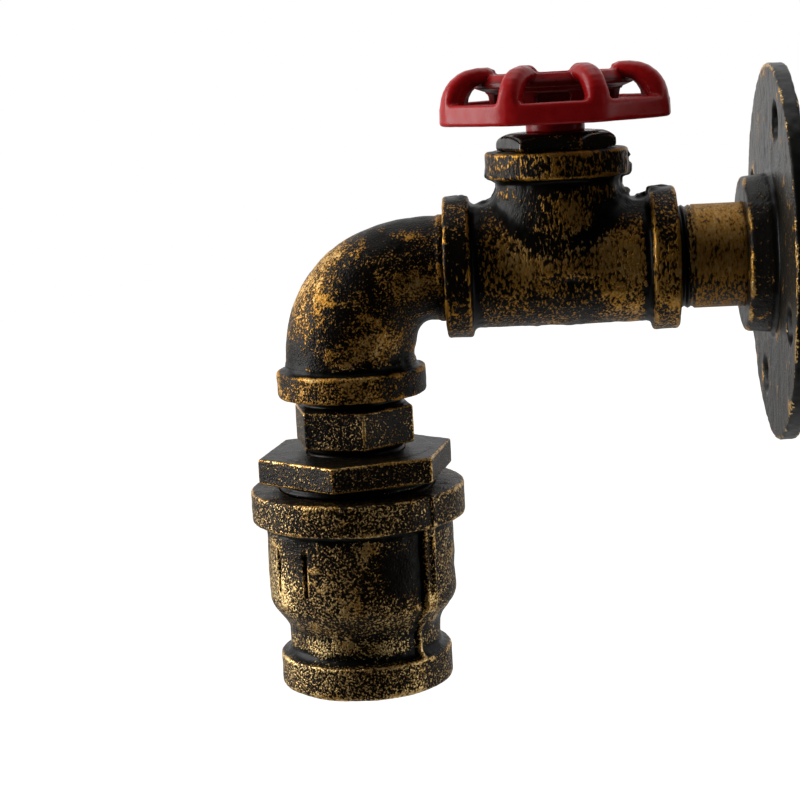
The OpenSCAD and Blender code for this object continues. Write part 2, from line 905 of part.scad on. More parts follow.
// Half section of one side rib: it follows the coupling from rim to foot
module cup_rib(w, out, from, to) {
  inside = 2;
  rotate([90, 0, 0])
    translate([0, 0, -w / 2])
      linear_extrude(height = w)
        polygon([
          [cup_r - inside, from], [cup_r + out, from], [cup_r + out, cup_taper_from + 0.4],
          [cup_neck_r + out * 0.6, cup_taper_to + 0.3], [cup_neck_r + out * 0.6, to],
          [cup_neck_r - inside, to], [cup_neck_r - inside, cup_taper_to], [cup_r - inside, cup_taper_from]
        ]);
}

module reducing_coupling() {
  foot_from = cup_h - cup_foot_h;
  color(bronze)
    in_cup(0)
      difference() {
        union() {
          rotate_extrude()
            polygon(concat(
              [[0, 0]],
              band_points(cup_rim_r, cup_rim_h, cup_r),
              [[cup_r, cup_taper_from], [cup_neck_r, cup_taper_to]],
              arc(cup_neck_r + fillet_r, foot_from - fillet_r, fillet_r, 180, 90),
              arc(cup_foot_r - edge_r, foot_from + edge_r, edge_r, -90, 0),
              arc(cup_foot_r - 2 * edge_r, cup_h - 2 * edge_r, 2 * edge_r, 0, 90),
              [[0, cup_h]]
            ));
          for (a = [0, 180])
            rotate([0, 0, cup_rib_turn + a])
              cup_rib(cup_rib_w, cup_rib_out, cup_rim_h - 1, foot_from + 1);
        }
        rotate_extrude()
          polygon([
            [0, -1], [cup_seat_r, -1], [cup_seat_r, cup_seat_depth], [cup_seat_r + 0.2, cup_seat_depth],
            [cup_seat_r + 0.2, cup_taper_from - 1], [mouth_r, cup_taper_to - 1],
            [mouth_r, cup_h + 1], [0, cup_h + 1]
          ]);
      }
}

module adaptor_plug() {
  slot_w = 3;
  color(steel)
    in_cup(bushing_reach - plug_h)
      difference() {
        cylinder(r = thread_r, h = plug_h);
        translate([0, 0, -1])
          cylinder(r = tube_r + fit_gap, h = plug_h + 2);
        for (s = [-1, 1])
          translate([s * (thread_r - 3), 0, plug_h - 2])
            cylinder(d = slot_w, h = 3);
      }
}

module holder_tube() {
  color(brass)
    in_cup(tube_from)
      ring(tube_r, tube_bore / 2, tube_to - tube_from);
}

module earth_tag() {
  eye_r = 8;
  tail = 10.5;
  color(brass)
    in_cup(bushing_reach)
      difference() {
        union() {
          cylinder(r = eye_r, h = tag_h);
          translate([0, -2, 0])
            cube([tail, 4, tag_h]);
        }
        translate([0, 0, -1])
          cylinder(r = tube_r + 0.1, h = tag_h + 2);
      }
}

module lock_nut() {
  color(steel)
    in_cup(bushing_reach + tag_h)
      difference() {
        turned_hexagon(lock_hex, lock_h);
        translate([0, 0, -1])
          cylinder(r = tube_r + fit_gap, h = lock_h + 2);
      }
}

module holder_cap() {
  shoulder = 4;
  h = cap_low - cap_top;
  neck = 4.2;
  color(porcelain)
    in_cup(cap_top)
      rotate_extrude()
        polygon(concat(
          [[tube_r + fit_gap, 0], [tube_r + 4, 0]],
          arc(cap_r - shoulder, shoulder + 1, shoulder, -70, 0),
          [[cap_r, h], [cap_r - cap_wall, h], [cap_r - cap_wall, shoulder + 1.4],
           [tube_r + 3, neck - 1], [tube_r + 3, neck], [tube_r + fit_gap, neck]]
        ));
}

module holder_body() {
  rim_r = cap_r - cap_wall - 0.1;
  well_r = shell_r + shell_t + fit_gap;
  color(porcelain)
    in_cup(0)
      difference() {
        rotate_extrude()
          polygon([
            [0, holder_plate], [rim_r, holder_plate], [rim_r, cap_low], [cap_r, cap_low],
            [cap_r, cap_low + 1.6], [barrel_r, cap_low + 2.6],
            [barrel_r, holder_mouth - 0.6], [barrel_r - 0.6, holder_mouth],
            [well_r, holder_mouth], [well_r, shell_top - fit_gap], [shell_back_r, shell_top - fit_gap],
            [shell_back_r, contact_seat], [0, contact_seat]
          ]);
        for (s = [-1, 1])
          translate([s * holder_screw_x, 0, holder_plate - 1])
            cylinder(r = holder_screw_r + fit_gap, h = 2.6);
        translate([0, 0, holder_plate - 1])
          cylinder(r = rivet_r + fit_gap, h = base_h + 6);
      }
}

module screw_shell() {
  back_h = 0.5;
  color(brass)
    in_cup(shell_top)
      difference() {
        cylinder(r = shell_r + shell_t, h = shell_h);
        translate([0, 0, back_h])
          cylinder(r = shell_r, h = shell_h);
        translate([0, 0, -1])
          cylinder(r = shell_back_r, h = 3);
      }
}

module centre_contact() {
  leaf_t = 0.5;
  leaf_w = 5;
  rise = 3.4;
  color(brass)
    in_cup(0) {
      translate([0, 0, holder_plate])
        cylinder(r = rivet_r, h = contact_seat - holder_plate);
      translate([0, 0, contact_seat])
        rotate([90, 0, 0])
          translate([0, 0, -leaf_w / 2])
            linear_extrude(height = leaf_w)
              polygon([
                [-4, 0], [2.5, 0], [6, rise - 1], [-3.5, rise],
                [-3.5, rise - leaf_t], [4, rise - 1.3], [2.2, leaf_t], [-4, leaf_t]
              ]);
    }
}

module holder_screws() {
  color(steel)
    in_cup(0)
      for (s = [-1, 1])
        translate([s * holder_screw_x, 0, holder_plate])
          difference() {
            union() {
              translate([0, 0, -holder_head_h])
                cylinder(r = 2.6, h = holder_head_h);
              cylinder(r = holder_screw_r, h = 1.5);
            }
            translate([-3, -0.4, -holder_head_h - 0.3])
              cube([6, 0.8, 0.9]);
          }
}

module head_flex() {
  steps = 10;
  bend = [for (i = [0 : steps])
    [-bend_x - bend_r * sin(90 * i / steps), 0, bend_r * cos(90 * i / steps) - bend_r]];
  route = concat([[-swivel_x, 0, 0]], bend, [[head_x, 0, cup_top - flex_end]]);
  color(black)
    swept(route, [for (p = route) flex_d / 2], 16);
}

module holder_leads() {
  lead_d = 1.3;
  split = 1.4;
  end_depth = holder_plate - holder_head_h - lead_d / 2 - 0.05;
  color([0.45, 0.22, 0.08])
    for (s = [-1, 1])
      in_cup(0)
        wire([
          [s * split, 0, flex_end + 0.3], [s * (split + 0.5), 0, flex_end + 0.7],
          [s * (split + 2.4), 0, end_depth], [s * (holder_screw_x - 2), 0, end_depth],
          [s * holder_screw_x, 0, end_depth]
        ], lead_d);
}

wall_flange();
flange_nipple();
entry_bush();
terminal_block();
terminal_screws();
live_wire();
neutral_wire();
earth_wire();
switched_wire();
arm_flex();
pipe_tee();
bonnet();
stem_seal();
switch_case();
switch_cover();
switch_contacts();
switch_ring();
handwheel();
stem();
wheel_washer();
wheel_nut();
switch_rotor();
rotor_bridge();
street_elbow();
hex_nipple();
hex_bushing();
reducing_coupling();
adaptor_plug();
holder_tube();
lock_nut();
earth_tag();
holder_cap();
holder_body();
screw_shell();
centre_contact();
holder_screws();
head_flex();
holder_leads();
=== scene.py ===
"""Looks of a pipe wall light: castings, valve wheel, lampholder and stage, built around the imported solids."""

import itertools
import math

import bpy
import numpy as np
from bpy.props import FloatProperty, FloatVectorProperty, PointerProperty
from mathutils import Matrix, Vector


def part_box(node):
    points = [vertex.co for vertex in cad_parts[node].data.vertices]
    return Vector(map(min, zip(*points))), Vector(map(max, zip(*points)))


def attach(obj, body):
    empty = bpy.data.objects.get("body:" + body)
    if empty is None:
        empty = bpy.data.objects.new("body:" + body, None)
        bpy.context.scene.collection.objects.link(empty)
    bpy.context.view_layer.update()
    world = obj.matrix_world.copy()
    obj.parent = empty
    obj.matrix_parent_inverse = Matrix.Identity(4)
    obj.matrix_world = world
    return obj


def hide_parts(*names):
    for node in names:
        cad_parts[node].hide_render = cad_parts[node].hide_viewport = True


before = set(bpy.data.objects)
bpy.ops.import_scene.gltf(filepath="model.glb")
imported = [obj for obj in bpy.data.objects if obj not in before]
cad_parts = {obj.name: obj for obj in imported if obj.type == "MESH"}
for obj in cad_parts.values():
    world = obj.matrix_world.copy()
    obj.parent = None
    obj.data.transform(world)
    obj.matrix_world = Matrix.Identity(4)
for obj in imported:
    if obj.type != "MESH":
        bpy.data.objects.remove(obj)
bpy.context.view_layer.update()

bl_info = {
    "name": "Pipe Wall Light",
    "version": (1, 0, 0),
    "blender": (4, 5, 0),
    "location": "3D View > Sidebar > Pipe Light",
    "description": "Builds the castings, valve wheel and lampholder of a pipe wall light",
    "category": "Object",
}

MM = 0.001


# Places and sizes, in millimetres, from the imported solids


def box_mm(node):
    low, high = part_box(node)
    return np.array(low) / MM, np.array(high) / MM


TEE_LOW, TEE_HIGH = box_mm("pipe_tee")
FLANGE_LOW, FLANGE_HIGH = box_mm("wall_flange")
NIPPLE_LOW, NIPPLE_HIGH = box_mm("flange_nipple")
ELBOW_LOW, ELBOW_HIGH = box_mm("street_elbow")
HEX_LOW, HEX_HIGH = box_mm("hex_nipple")
BUSHING_LOW, BUSHING_HIGH = box_mm("hex_bushing")
CUP_LOW, CUP_HIGH = box_mm("reducing_coupling")
BONNET_LOW, BONNET_HIGH = box_mm("bonnet")
WHEEL_LOW, WHEEL_HIGH = box_mm("handwheel")
STEM_LOW, STEM_HIGH = box_mm("stem")
SHELL_LOW, SHELL_HIGH = box_mm("screw_shell")
HOLDER_LOW, HOLDER_HIGH = box_mm("holder_body")
BUSH_LOW, BUSH_HIGH = box_mm("entry_bush")

BRANCH_X = (TEE_LOW[0] + TEE_HIGH[0]) / 2
TEE_HALF = (TEE_HIGH[0] - TEE_LOW[0]) / 2
TEE_RISE = TEE_HIGH[2]
HEAD_X = (BUSHING_LOW[0] + BUSHING_HIGH[0]) / 2
ELBOW_MOUTH = ELBOW_LOW[2]
CUP_TOP = CUP_HIGH[2]
CUP_DEPTH = CUP_HIGH[2] - CUP_LOW[2]

# Radii and lengths of pipe, seats, holes and bend
PIPE_R = 13.45
THREAD_R = 13.2
SEAT_R = 13.25
WAY_R = 12.0
STEM_HOLE_R = 3.05
ELBOW_NECK = 3.9
ELBOW_R = 17.0
ELBOW_BORE_R = 10.2
BEND_X = TEE_LOW[0] - ELBOW_NECK
BEND_R = BEND_X - HEAD_X

# Half sections start here, beyond the axis, so that they close
AXIS = -5


def metres(name, description, value, low, high):
    return FloatProperty(name=name, description=description, default=value, min=low, max=high, unit="LENGTH")


def watts(name, description, value):
    return FloatProperty(name=name, description=description, default=value, min=0, unit="POWER")


def colour(name, description, value):
    return FloatVectorProperty(
        name=name, description=description, default=value, size=3, min=0.0, max=1.0, subtype="COLOR")


class PipeLightSizes(bpy.types.PropertyGroup):
    """Sizes of the castings that a user may change"""

    casting_step: metres("Casting Detail", "Spacing of the mesh on the castings", 0.0005, 0.0003, 0.002)
    wheel_step: metres(
        "Wheel Detail", "Spacing of the mesh on the wheel and the hexagons", 0.0004, 0.0003, 0.002)
    edge_round: metres("Edge Rounding", "Rounding of the bands' outer edges", 0.0008, 0.0003, 0.002)
    band_fillet: metres(
        "Band Fillet", "Hollow fillet between a band and the body behind it", 0.0017, 0.0005, 0.003)
    crotch_fillet: metres(
        "Crotch Fillet", "Hollow fillet where the tee's branch meets its run", 0.0046, 0.001, 0.006)
    unevenness: metres(
        "Unevenness", "Height of the shallow lumps that sand casting leaves", 0.00016, 0.0, 0.0006)
    rib_width: metres("Rib Width", "Width of one rib of the valve wheel", 0.0057, 0.004, 0.0075)
    rib_round: metres("Rib Rounding", "Rounding of the valve wheel's ribs", 0.0010, 0.0005, 0.0025)
    hexagon_round: metres("Hexagon Rounding", "Rounding of the hexagons' edges", 0.0006, 0.0003, 0.0015)
    pipe_pitch: metres("Pipe Thread Pitch", "Pitch of the pipe threads", 0.001814, 0.001, 0.003)
    shell_pitch: metres(
        "Lamp Thread Pitch", "Pitch of the rolled thread for the lamp", 0.003629, 0.002, 0.005)


class PipeLightColours(bpy.types.PropertyGroup):
    """Colours of the finishes"""

    bronze: colour("Bronze", "Dry-brushed antique bronze", (0.34, 0.160, 0.020))
    # Pale bronze is partly a painted highlight: bronze lies thickest where it is rubbed up on the lit side, and
    # turns paler there
    pale_bronze: colour("Pale Bronze", "Bronze where it is rubbed on thickest", (0.58, 0.425, 0.19))
    black_paint: colour("Black Paint", "Paint under the bronze", (0.0034, 0.0026, 0.0014))
    charcoal: colour("Charcoal", "Paint of the wall flange", (0.0125, 0.0112, 0.0088))
    red_enamel: colour("Red Enamel", "Enamel of the valve wheel", (0.28, 0.003, 0.004))
    steel: colour("Steel", "Zinc plated steel", (0.56, 0.56, 0.55))
    brass: colour("Brass", "Brass of shell, contact and hollow thread", (0.70, 0.48, 0.17))
    porcelain: colour("Porcelain", "Glazed porcelain of the lampholder", (0.80, 0.79, 0.75))
    phenolic: colour("Phenolic", "Dark moulding of the switch", (0.025, 0.016, 0.011))
    nylon: colour("Nylon", "Bush and terminal block", (0.74, 0.73, 0.67))
    rubber: colour("Rubber", "Seal and flex sheath", (0.014, 0.014, 0.014))
    brown_core: colour("Brown Core", "Live and lamp leads", (0.16, 0.055, 0.014))
    blue_core: colour("Blue Core", "Neutral core", (0.016, 0.045, 0.26))
    green_core: colour("Green Core", "Earth core", (0.03, 0.22, 0.03))


class PipeLightStage(bpy.types.PropertyGroup):
    """Camera and light"""

    focal_length: FloatProperty(
        name="Focal Length", description="Lens on a 36 mm sensor",
        default=90.0, min=20, max=300, unit="CAMERA")
    floor_drop: metres("Floor Drop", "Height of the light above the floor", 0.75, 0.1, 3.0)
    left_light: watts("Left Light", "Power of the softbox on the left", 8.5)
    right_light: watts("Right Light", "Power of the softbox on the right", 1.4)
    top_light: watts("Top Light", "Power of the softbox overhead", 1.3)
    sky: FloatProperty(
        name="Sky", description="Even light from all round", default=0.35, min=0.0, max=1.0, subtype="FACTOR")


def size_mm(key):
    """A size that the panel shows, in millimetres."""
    return getattr(bpy.context.scene.pipe_light_sizes, key) / MM


def colours():
    return bpy.context.scene.pipe_light_colours


# Outlines and distances


def arc(x, y, r, start, end, n=6):
    return [(x + r * math.cos(math.radians(start + (end - start) * i / n)),
             y + r * math.sin(math.radians(start + (end - start) * i / n))) for i in range(n + 1)]


def mouth_band(r, width, body, edge, fillet):
    """Half section of a mouth's band, from its face to the fillet on the body.

    The points are (radius, distance from the face).
    """
    return (arc(r - edge, edge, edge, -90, 0) + arc(r - edge, width - edge, edge, 0, 90)
            + arc(body + fillet, width + fillet, fillet, -90, -180))


class Outline:
    """Closed outline with a table of signed distances, negative inside."""

    def __init__(self, points, step=0.1, pad=4.0):
        points = np.asarray(points, float)
        self.low, self.step = points.min(0) - pad, step
        counts = np.ceil((points.max(0) + pad - self.low) / step).astype(int) + 1
        x = self.low[0] + step * np.arange(counts[0])[:, None]
        y = self.low[1] + step * np.arange(counts[1])[None, :]
        nearest = np.full(counts, 1e9)
        inside = np.zeros(counts, bool)
        for a, b in zip(points, np.roll(points, -1, axis=0)):
            ex, ey = b - a
            if ex == 0 and ey == 0:
                continue
            wx, wy = x - a[0], y - a[1]
            t = np.clip((wx * ex + wy * ey) / (ex * ex + ey * ey), 0, 1)
            nearest = np.minimum(nearest, (wx - ex * t) ** 2 + (wy - ey * t) ** 2)
            if ey != 0:
                inside ^= ((a[1] <= y) != (b[1] <= y)) & (wx < ex * wy / ey)
        self.table = (np.where(inside, -1, 1) * np.sqrt(nearest)).astype(np.float32)

    def __call__(self, x, y):
        last = np.array(self.table.shape) - 1.001
        u = np.clip((x - self.low[0]) / self.step, 0, last[0])
        v = np.clip((y - self.low[1]) / self.step, 0, last[1])
        i, j = u.astype(np.int32), v.astype(np.int32)
        u, v = u - i, v - j
        t = self.table
        return ((t[i, j] * (1 - u) + t[i + 1, j] * u) * (1 - v)
                + (t[i, j + 1] * (1 - u) + t[i + 1, j + 1] * u) * v)


def joined(a, b, k):
    """Union of two distances with a hollow fillet of about 0.85 k."""
    h = np.clip(0.5 + 0.5 * (b - a) / k, 0, 1)
    return b * (1 - h) + a * h - k * h * (1 - h)


def cut(a, b, k):
    """What is left of a outside b, with the new edge rounded."""
    return -joined(-a, b, k)


def common(a, b, k):
    """Overlap of two distances with its edge rounded."""
    return -joined(-a, -b, k)


def rounded(a, b, r):
    """Overlap of two distances at right angles, with edges of radius r."""
    qa, qb = a + r, b + r
    return np.minimum(np.maximum(qa, qb), 0) + np.hypot(np.maximum(qa, 0), np.maximum(qb, 0)) - r


def hexagon(x, y, flats, turn):
    """Distance to an endless hexagon with a corner at the angle turn."""
    across = [np.abs(x * math.cos(a) + y * math.sin(a)) for a in np.radians(turn + np.array([30, 90, 150]))]
    return np.maximum(np.maximum(*across[:2]), across[2]) - flats / 2


def slab(z, low, high):
    return np.abs(z - (low + high) / 2) - (high - low) / 2


LATTICE = 24


def lumps(x, y, z, size, seed):
    """Seeded unevenness between -1 and 1, with bumps about as wide as size."""
    cells = np.random.default_rng(seed).uniform(-1, 1, (LATTICE,) * 3).astype(np.float32)
    steps = []
    for v in (x, y, z):
        t = v / size
        i = np.floor(t).astype(np.int32)
        w = (t - i).astype(np.float32)
        w = w * w * (3 - 2 * w)
        steps.append(((i % LATTICE, 1 - w), ((i + 1) % LATTICE, w)))
    total = 0
    for (i, a), (j, b), (k, c) in itertools.product(*steps):
        total = total + cells[i, j, k] * a * b * c
    return total


# Lumps of a casting and of its burrs: width and share of each set
CAST_LUMPS = ((5.0, 1.0), (1.7, 0.55))
BURR_LUMPS = ((2.6, 1.0), (1.3, 0.6))
BURR_RISE, BURR_DIP = 0.25, -0.3


def lump_sets(x, y, z, sets, seed):
    """Sum of several sets of lumps, each with a seed of its own."""
    return sum(share * lumps(x, y, z, width, seed + i) for i, (width, share) in enumerate(sets))


def sand_cast(shape, seed, height=None, flash=None):
    """The same shape with the shallow lumps of a casting, and ragged as high as flash says."""
    height = size_mm("unevenness") if height is None else height

    def uneven(x, y, z):
        d = shape(x, y, z) - height * lump_sets(x, y, z, CAST_LUMPS, seed)
        if flash is not None:
            ragged = lump_sets(x, y, z, BURR_LUMPS, seed + len(CAST_LUMPS))
            d = d - flash(x, y, z) * np.clip(BURR_RISE + ragged, BURR_DIP, 1)
        return d

    return uneven


# Meshes


CORNERS = np.array(list(itertools.product((0, 1), repeat=3)))
CELL_EDGES = [(a, b) for a in range(8) for b in range(a + 1, 8) if np.abs(CORNERS[a] - CORNERS[b]).sum() == 1]


def skin(shape, low, high, step):
    """Closed quads on the surface where a distance is zero."""
    axes = [np.arange(a, b + step, step, dtype=np.float32) for a, b in zip(low, high)]
    d = shape(*np.meshgrid(*axes, indexing="ij"))
    inside = d < 0
    if inside[[0, -1]].any() or inside[:, [0, -1]].any() or inside[:, :, [0, -1]].any():
        raise RuntimeError("the shape reaches the edge of its box")
    n = [s - 1 for s in d.shape]
    count = sum(inside[i:i + n[0], j:j + n[1], k:k + n[2]].astype(np.int8) for i, j, k in CORNERS)
    cells = np.argwhere((count > 0) & (count < 8))
    number = np.full(n, -1, np.int64)
    number[tuple(cells.T)] = np.arange(len(cells))
    values = np.stack([d[tuple((cells + c).T)] for c in CORNERS], axis=1)
    place, crossings = np.zeros((len(cells), 3)), np.zeros(len(cells))
    for a, b in CELL_EDGES:
        da, db = values[:, a], values[:, b]
        crosses = (da < 0) != (db < 0)
        t = np.where(crosses, da / np.where(crosses, da - db, 1), 0)
        place += crosses[:, None] * (CORNERS[a] + t[:, None] * (CORNERS[b] - CORNERS[a]))
        crossings += crosses
    verts = np.array(low) + step * (cells + place / crossings[:, None])
    quads = []
    for axis in range(3):
        ahead = np.take(inside, range(1, d.shape[axis]), axis=axis)
        here = np.take(inside, range(d.shape[axis] - 1), axis=axis)
        e = np.argwhere(ahead != here)
        p, q = [np.eye(3, dtype=int)[(axis + s) % 3] for s in (1, 2)]
        ring = np.stack([number[tuple((e - s).T)] for s in (p + q, q, 0 * p, p)], axis=1)
        leaving = here[tuple(e.T)]
        quads.append(np.where(leaving[:, None], ring, ring[:, ::-1]))
    return verts, np.concatenate(quads)


def slope(shape, p, h=0.06):
    """Outward direction of a shape at points p."""
    g = np.empty_like(p)
    for k in range(3):
        ahead, behind = p.copy(), p.copy()
        ahead[:, k] += h
        behind[:, k] -= h
        g[:, k] = shape(*ahead.T) - shape(*behind.T)
    return g / np.maximum(np.linalg.norm(g, axis=1, keepdims=True), 1e-9)


def on_surface(shape, p, step):
    return p - slope(shape, p) * np.clip(shape(*p.T), -step, step)[:, None]


def relief(shape, p, normal, reach):
    """How far the surface falls away round each point: positive on edges, negative in hollows."""
    side = np.cross(normal, np.where(np.abs(normal[:, :1]) < 0.8, [[1.0, 0, 0]], [[0, 1.0, 0]]))
    side /= np.linalg.norm(side, axis=1, keepdims=True)
    other = np.cross(normal, side)
    total = 0
    for a in np.arange(8) * math.pi / 4:
        total = total + shape(*(p + reach * (math.cos(a) * side + math.sin(a) * other)).T)
    return total / 8 / reach


def mark(mesh, **values):
    """Gives the points of a mesh their values, as attributes."""
    for key, value in values.items():
        mesh.attributes.new(key, "FLOAT", "POINT").data.foreach_set("value", np.asarray(value, np.float32))


def mesh_of(name, verts, faces, **values):
    """Mesh in metres from points in millimetres, with values as attributes of its points."""
    mesh = bpy.data.meshes.new(name)
    if isinstance(faces, np.ndarray):
        faces = faces.tolist()
    mesh.from_pydata((np.asarray(verts) * MM).tolist(), [], faces)
    mesh.shade_smooth()
    mark(mesh, **values)
    mesh.validate()
    return mesh


def neighbour_mean(verts, quads):
    """Mean place of the points that share an edge with each point."""
    total, count = np.zeros_like(verts), np.zeros(len(verts))
    for i in range(4):
        a, b = quads[:, i], quads[:, (i + 1) % 4]
        for here, there in ((a, b), (b, a)):
            count += np.bincount(here, minlength=len(verts))
            for k in range(3):
                total[:, k] += np.bincount(here, verts[there, k], len(verts))
    return total / count[:, None]


# How far round a point edge wear and hollows are looked for, and from what fall on; hollows keep bronze off and
# get painted shade
EDGE_REACH, EDGE_FROM = 0.8, 0.10
HOLLOW_REACH, HOLLOW_FROM = 2.6, 0.02
WEAR_SPAN = 0.16

# Painted shade: faces that look up get less bronze, so that they read darker
TOP_FROM, TOP_SPAN, TOP_SHADE = 0.75, 0.2, 0.4


def casting(name, shape, low, high, step, seed, height=None, shade_and_recess=None, rubs=(), flash=None):
    """Mesh of a casting with the attributes edge, hollow and rub for its wear and its painted shade.

    shade_and_recess gives further places between 0 and 1 that are darkened as painted shade and kept free of
    bronze, and flash the height of ragged burrs. rubs are (x, y, z, radius, amount) where the brush went over
    more or less.
    """
    rough = sand_cast(shape, seed, height, flash)
    margin = 3 * step
    verts, quads = skin(rough, low - margin, high + margin, step)
    for _ in range(3):
        verts = on_surface(rough, 0.5 * verts + 0.5 * neighbour_mean(verts, quads), step)
    normal = slope(shape, verts)
    edge = np.clip((relief(shape, verts, normal, EDGE_REACH) - EDGE_FROM) / WEAR_SPAN, 0, 1)
    # hollow keeps bronze out of hollows and also darkens the paint there as painted shade
    hollow = np.clip((-relief(shape, verts, normal, HOLLOW_REACH) - HOLLOW_FROM) / WEAR_SPAN, 0, 1)
    if shade_and_recess is not None:
        hollow = np.maximum(hollow, shade_and_recess(*verts.T))
    # painted shade: less bronze on faces that look up
    rub = -TOP_SHADE * np.clip((normal[:, 2] - TOP_FROM) / TOP_SPAN, 0, 1)
    for x, y, z, radius, amount in rubs:
        rub += amount * np.exp(-((verts - (x, y, z)) ** 2).sum(1) / radius ** 2)
    return mesh_of(name, verts, quads, edge=edge, hollow=hollow, rub=rub)


def on_axis(r):
    return r < 1e-6


def turned(profile, segments):
    """Points and faces of a turned body about Z from its half section; points on the axis become poles."""
    angles = np.arange(segments) * 2 * math.pi / segments
    verts, rows = [], []
    for r, h in profile:
        if on_axis(r):
            rows.append([len(verts)] * segments)
            verts.append((0, 0, h))
        else:
            rows.append(list(range(len(verts), len(verts) + segments)))
            verts += [(r * math.cos(t), r * math.sin(t), h) for t in angles]
    faces = []
    for a, b in zip(rows, rows[1:] + rows[:1]):
        for i in range(segments):
            j = (i + 1) % segments
            face = list(dict.fromkeys((a[i], a[j], b[j], b[i])))
            if len(face) > 2:
                faces.append(face)
    return verts, faces


def turned_mesh(name, profile, place, segments=96, **values):
    """Mesh of a turned body, moved to its place; values are given per point of the profile."""
    verts, faces = turned(profile, segments)
    counts = [1 if on_axis(r) else segments for r, _ in profile]
    mesh = mesh_of(name, verts, faces, **{key: np.repeat(column, counts) for key, column in values.items()})
    mesh.transform(place)
    return mesh


def at(x, y, z):
    return Matrix.Translation(Vector((x, y, z)) * MM)


ALONG_ARM = Matrix.Rotation(math.radians(-90), 4, "Y")


def dense(points, step):
    """The same line with a point at least every step."""
    out = [points[0]]
    for a, b in zip(points, points[1:]):
        n = max(1, math.ceil(math.dist(a, b) / step))
        out += [(a[0] + (b[0] - a[0]) * i / n, a[1] + (b[1] - a[1]) * i / n) for i in range(1, n + 1)]
    return out


# Node building


class Nodes:
    """Adds nodes to a tree; an input is set from a value or linked from a socket."""

    def __init__(self, tree):
        self.tree = tree

    def put(self, node, inputs):
        for key, value in inputs.items():
            if isinstance(value, bpy.types.NodeSocket):
                self.tree.links.new(value, node.inputs[key])
            else:
                node.inputs[key].default_value = value

    def add(self, kind, inputs=None, **settings):
        node = self.tree.nodes.new(kind)
        for key, value in settings.items():
            setattr(node, key, value)
        self.put(node, inputs or {})
        return node

    def math(self, operation, *values):
        return self.add("ShaderNodeMath", dict(enumerate(values)), operation=operation).outputs[0]

    def plus(self, a, b):
        return self.math("ADD", a, b)

    def times(self, a, b):
        return self.math("MULTIPLY", a, b)

    def swing(self, noise, gain):
        """A noise that swings about zero."""
        return self.times(self.math("SUBTRACT", noise, 0.5), gain)

    def spread(self, value, low, high, to_low=0.0, to_high=1.0):
        """Smooth step between two numbers as a value goes from low to high."""
        limits = {"Value": value, "From Min": low, "From Max": high, "To Min": to_low, "To Max": to_high}
        return self.add("ShaderNodeMapRange", limits, interpolation_type="SMOOTHSTEP").outputs[0]

    def mix(self, factor, a, b):
        """Colour between two colours."""
        return self.add("ShaderNodeMix", {0: factor, 6: a, 7: b}, data_type="RGBA").outputs[2]

    def between(self, factor, a, b):
        """Number between two numbers."""
        return self.add("ShaderNodeMix", {0: factor, 2: a, 3: b}, data_type="FLOAT").outputs[0]

    def noise(self, vector, scale, detail=2.0, roughness=0.5, distortion=0.0):
        return self.add("ShaderNodeTexNoise", {
            "Vector": vector, "Scale": scale, "Detail": detail, "Roughness": roughness,
            "Distortion": distortion}).outputs["Fac"]

    def bump(self, height, depth, strength):
        """Normal of a surface with this relief, as deep as depth in millimetres."""
        return self.add("ShaderNodeBump", {
            "Strength": strength, "Distance": depth * MM, "Height": height}).outputs[0]

    def vector(self, operation, a, b):
        return self.add("ShaderNodeVectorMath", {0: a, 1: b}, operation=operation).outputs[0]

    def object_mm(self):
        where = self.add("ShaderNodeTexCoord").outputs["Object"]
        return self.vector("MULTIPLY", where, (1 / MM,) * 3)

    def attribute(self, name):
        return self.add("ShaderNodeAttribute", attribute_name=name).outputs["Fac"]

    def group(self, name, make, inputs):
        """Outputs of a shared effect with this material's own values."""
        tree = once(bpy.data.node_groups, name, make)
        return self.add("ShaderNodeGroup", inputs, node_tree=tree).outputs


def new_group(name, kind, inputs, outputs):
    """Empty node group; each named socket is given by its default, or by its type where it has none."""
    tree = bpy.data.node_groups.new(name, kind)
    for in_out, sockets in (("INPUT", inputs), ("OUTPUT", outputs)):
        for label, value in sockets.items():
            if isinstance(value, str):
                tree.interface.new_socket(label, in_out=in_out, socket_type=value)
            else:
                socket_type = "NodeSocketFloat" if isinstance(value, float) else "NodeSocketVector"
                tree.interface.new_socket(label, in_out=in_out, socket_type=socket_type).default_value = value
    given, out = tree.nodes.new("NodeGroupInput"), tree.nodes.new("NodeGroupOutput")
    return tree, Nodes(tree), given.outputs, out


def once(table, name, make):
    """A named group or material, made the first time that it is asked for."""
    return table[name] if name in table else make(name)


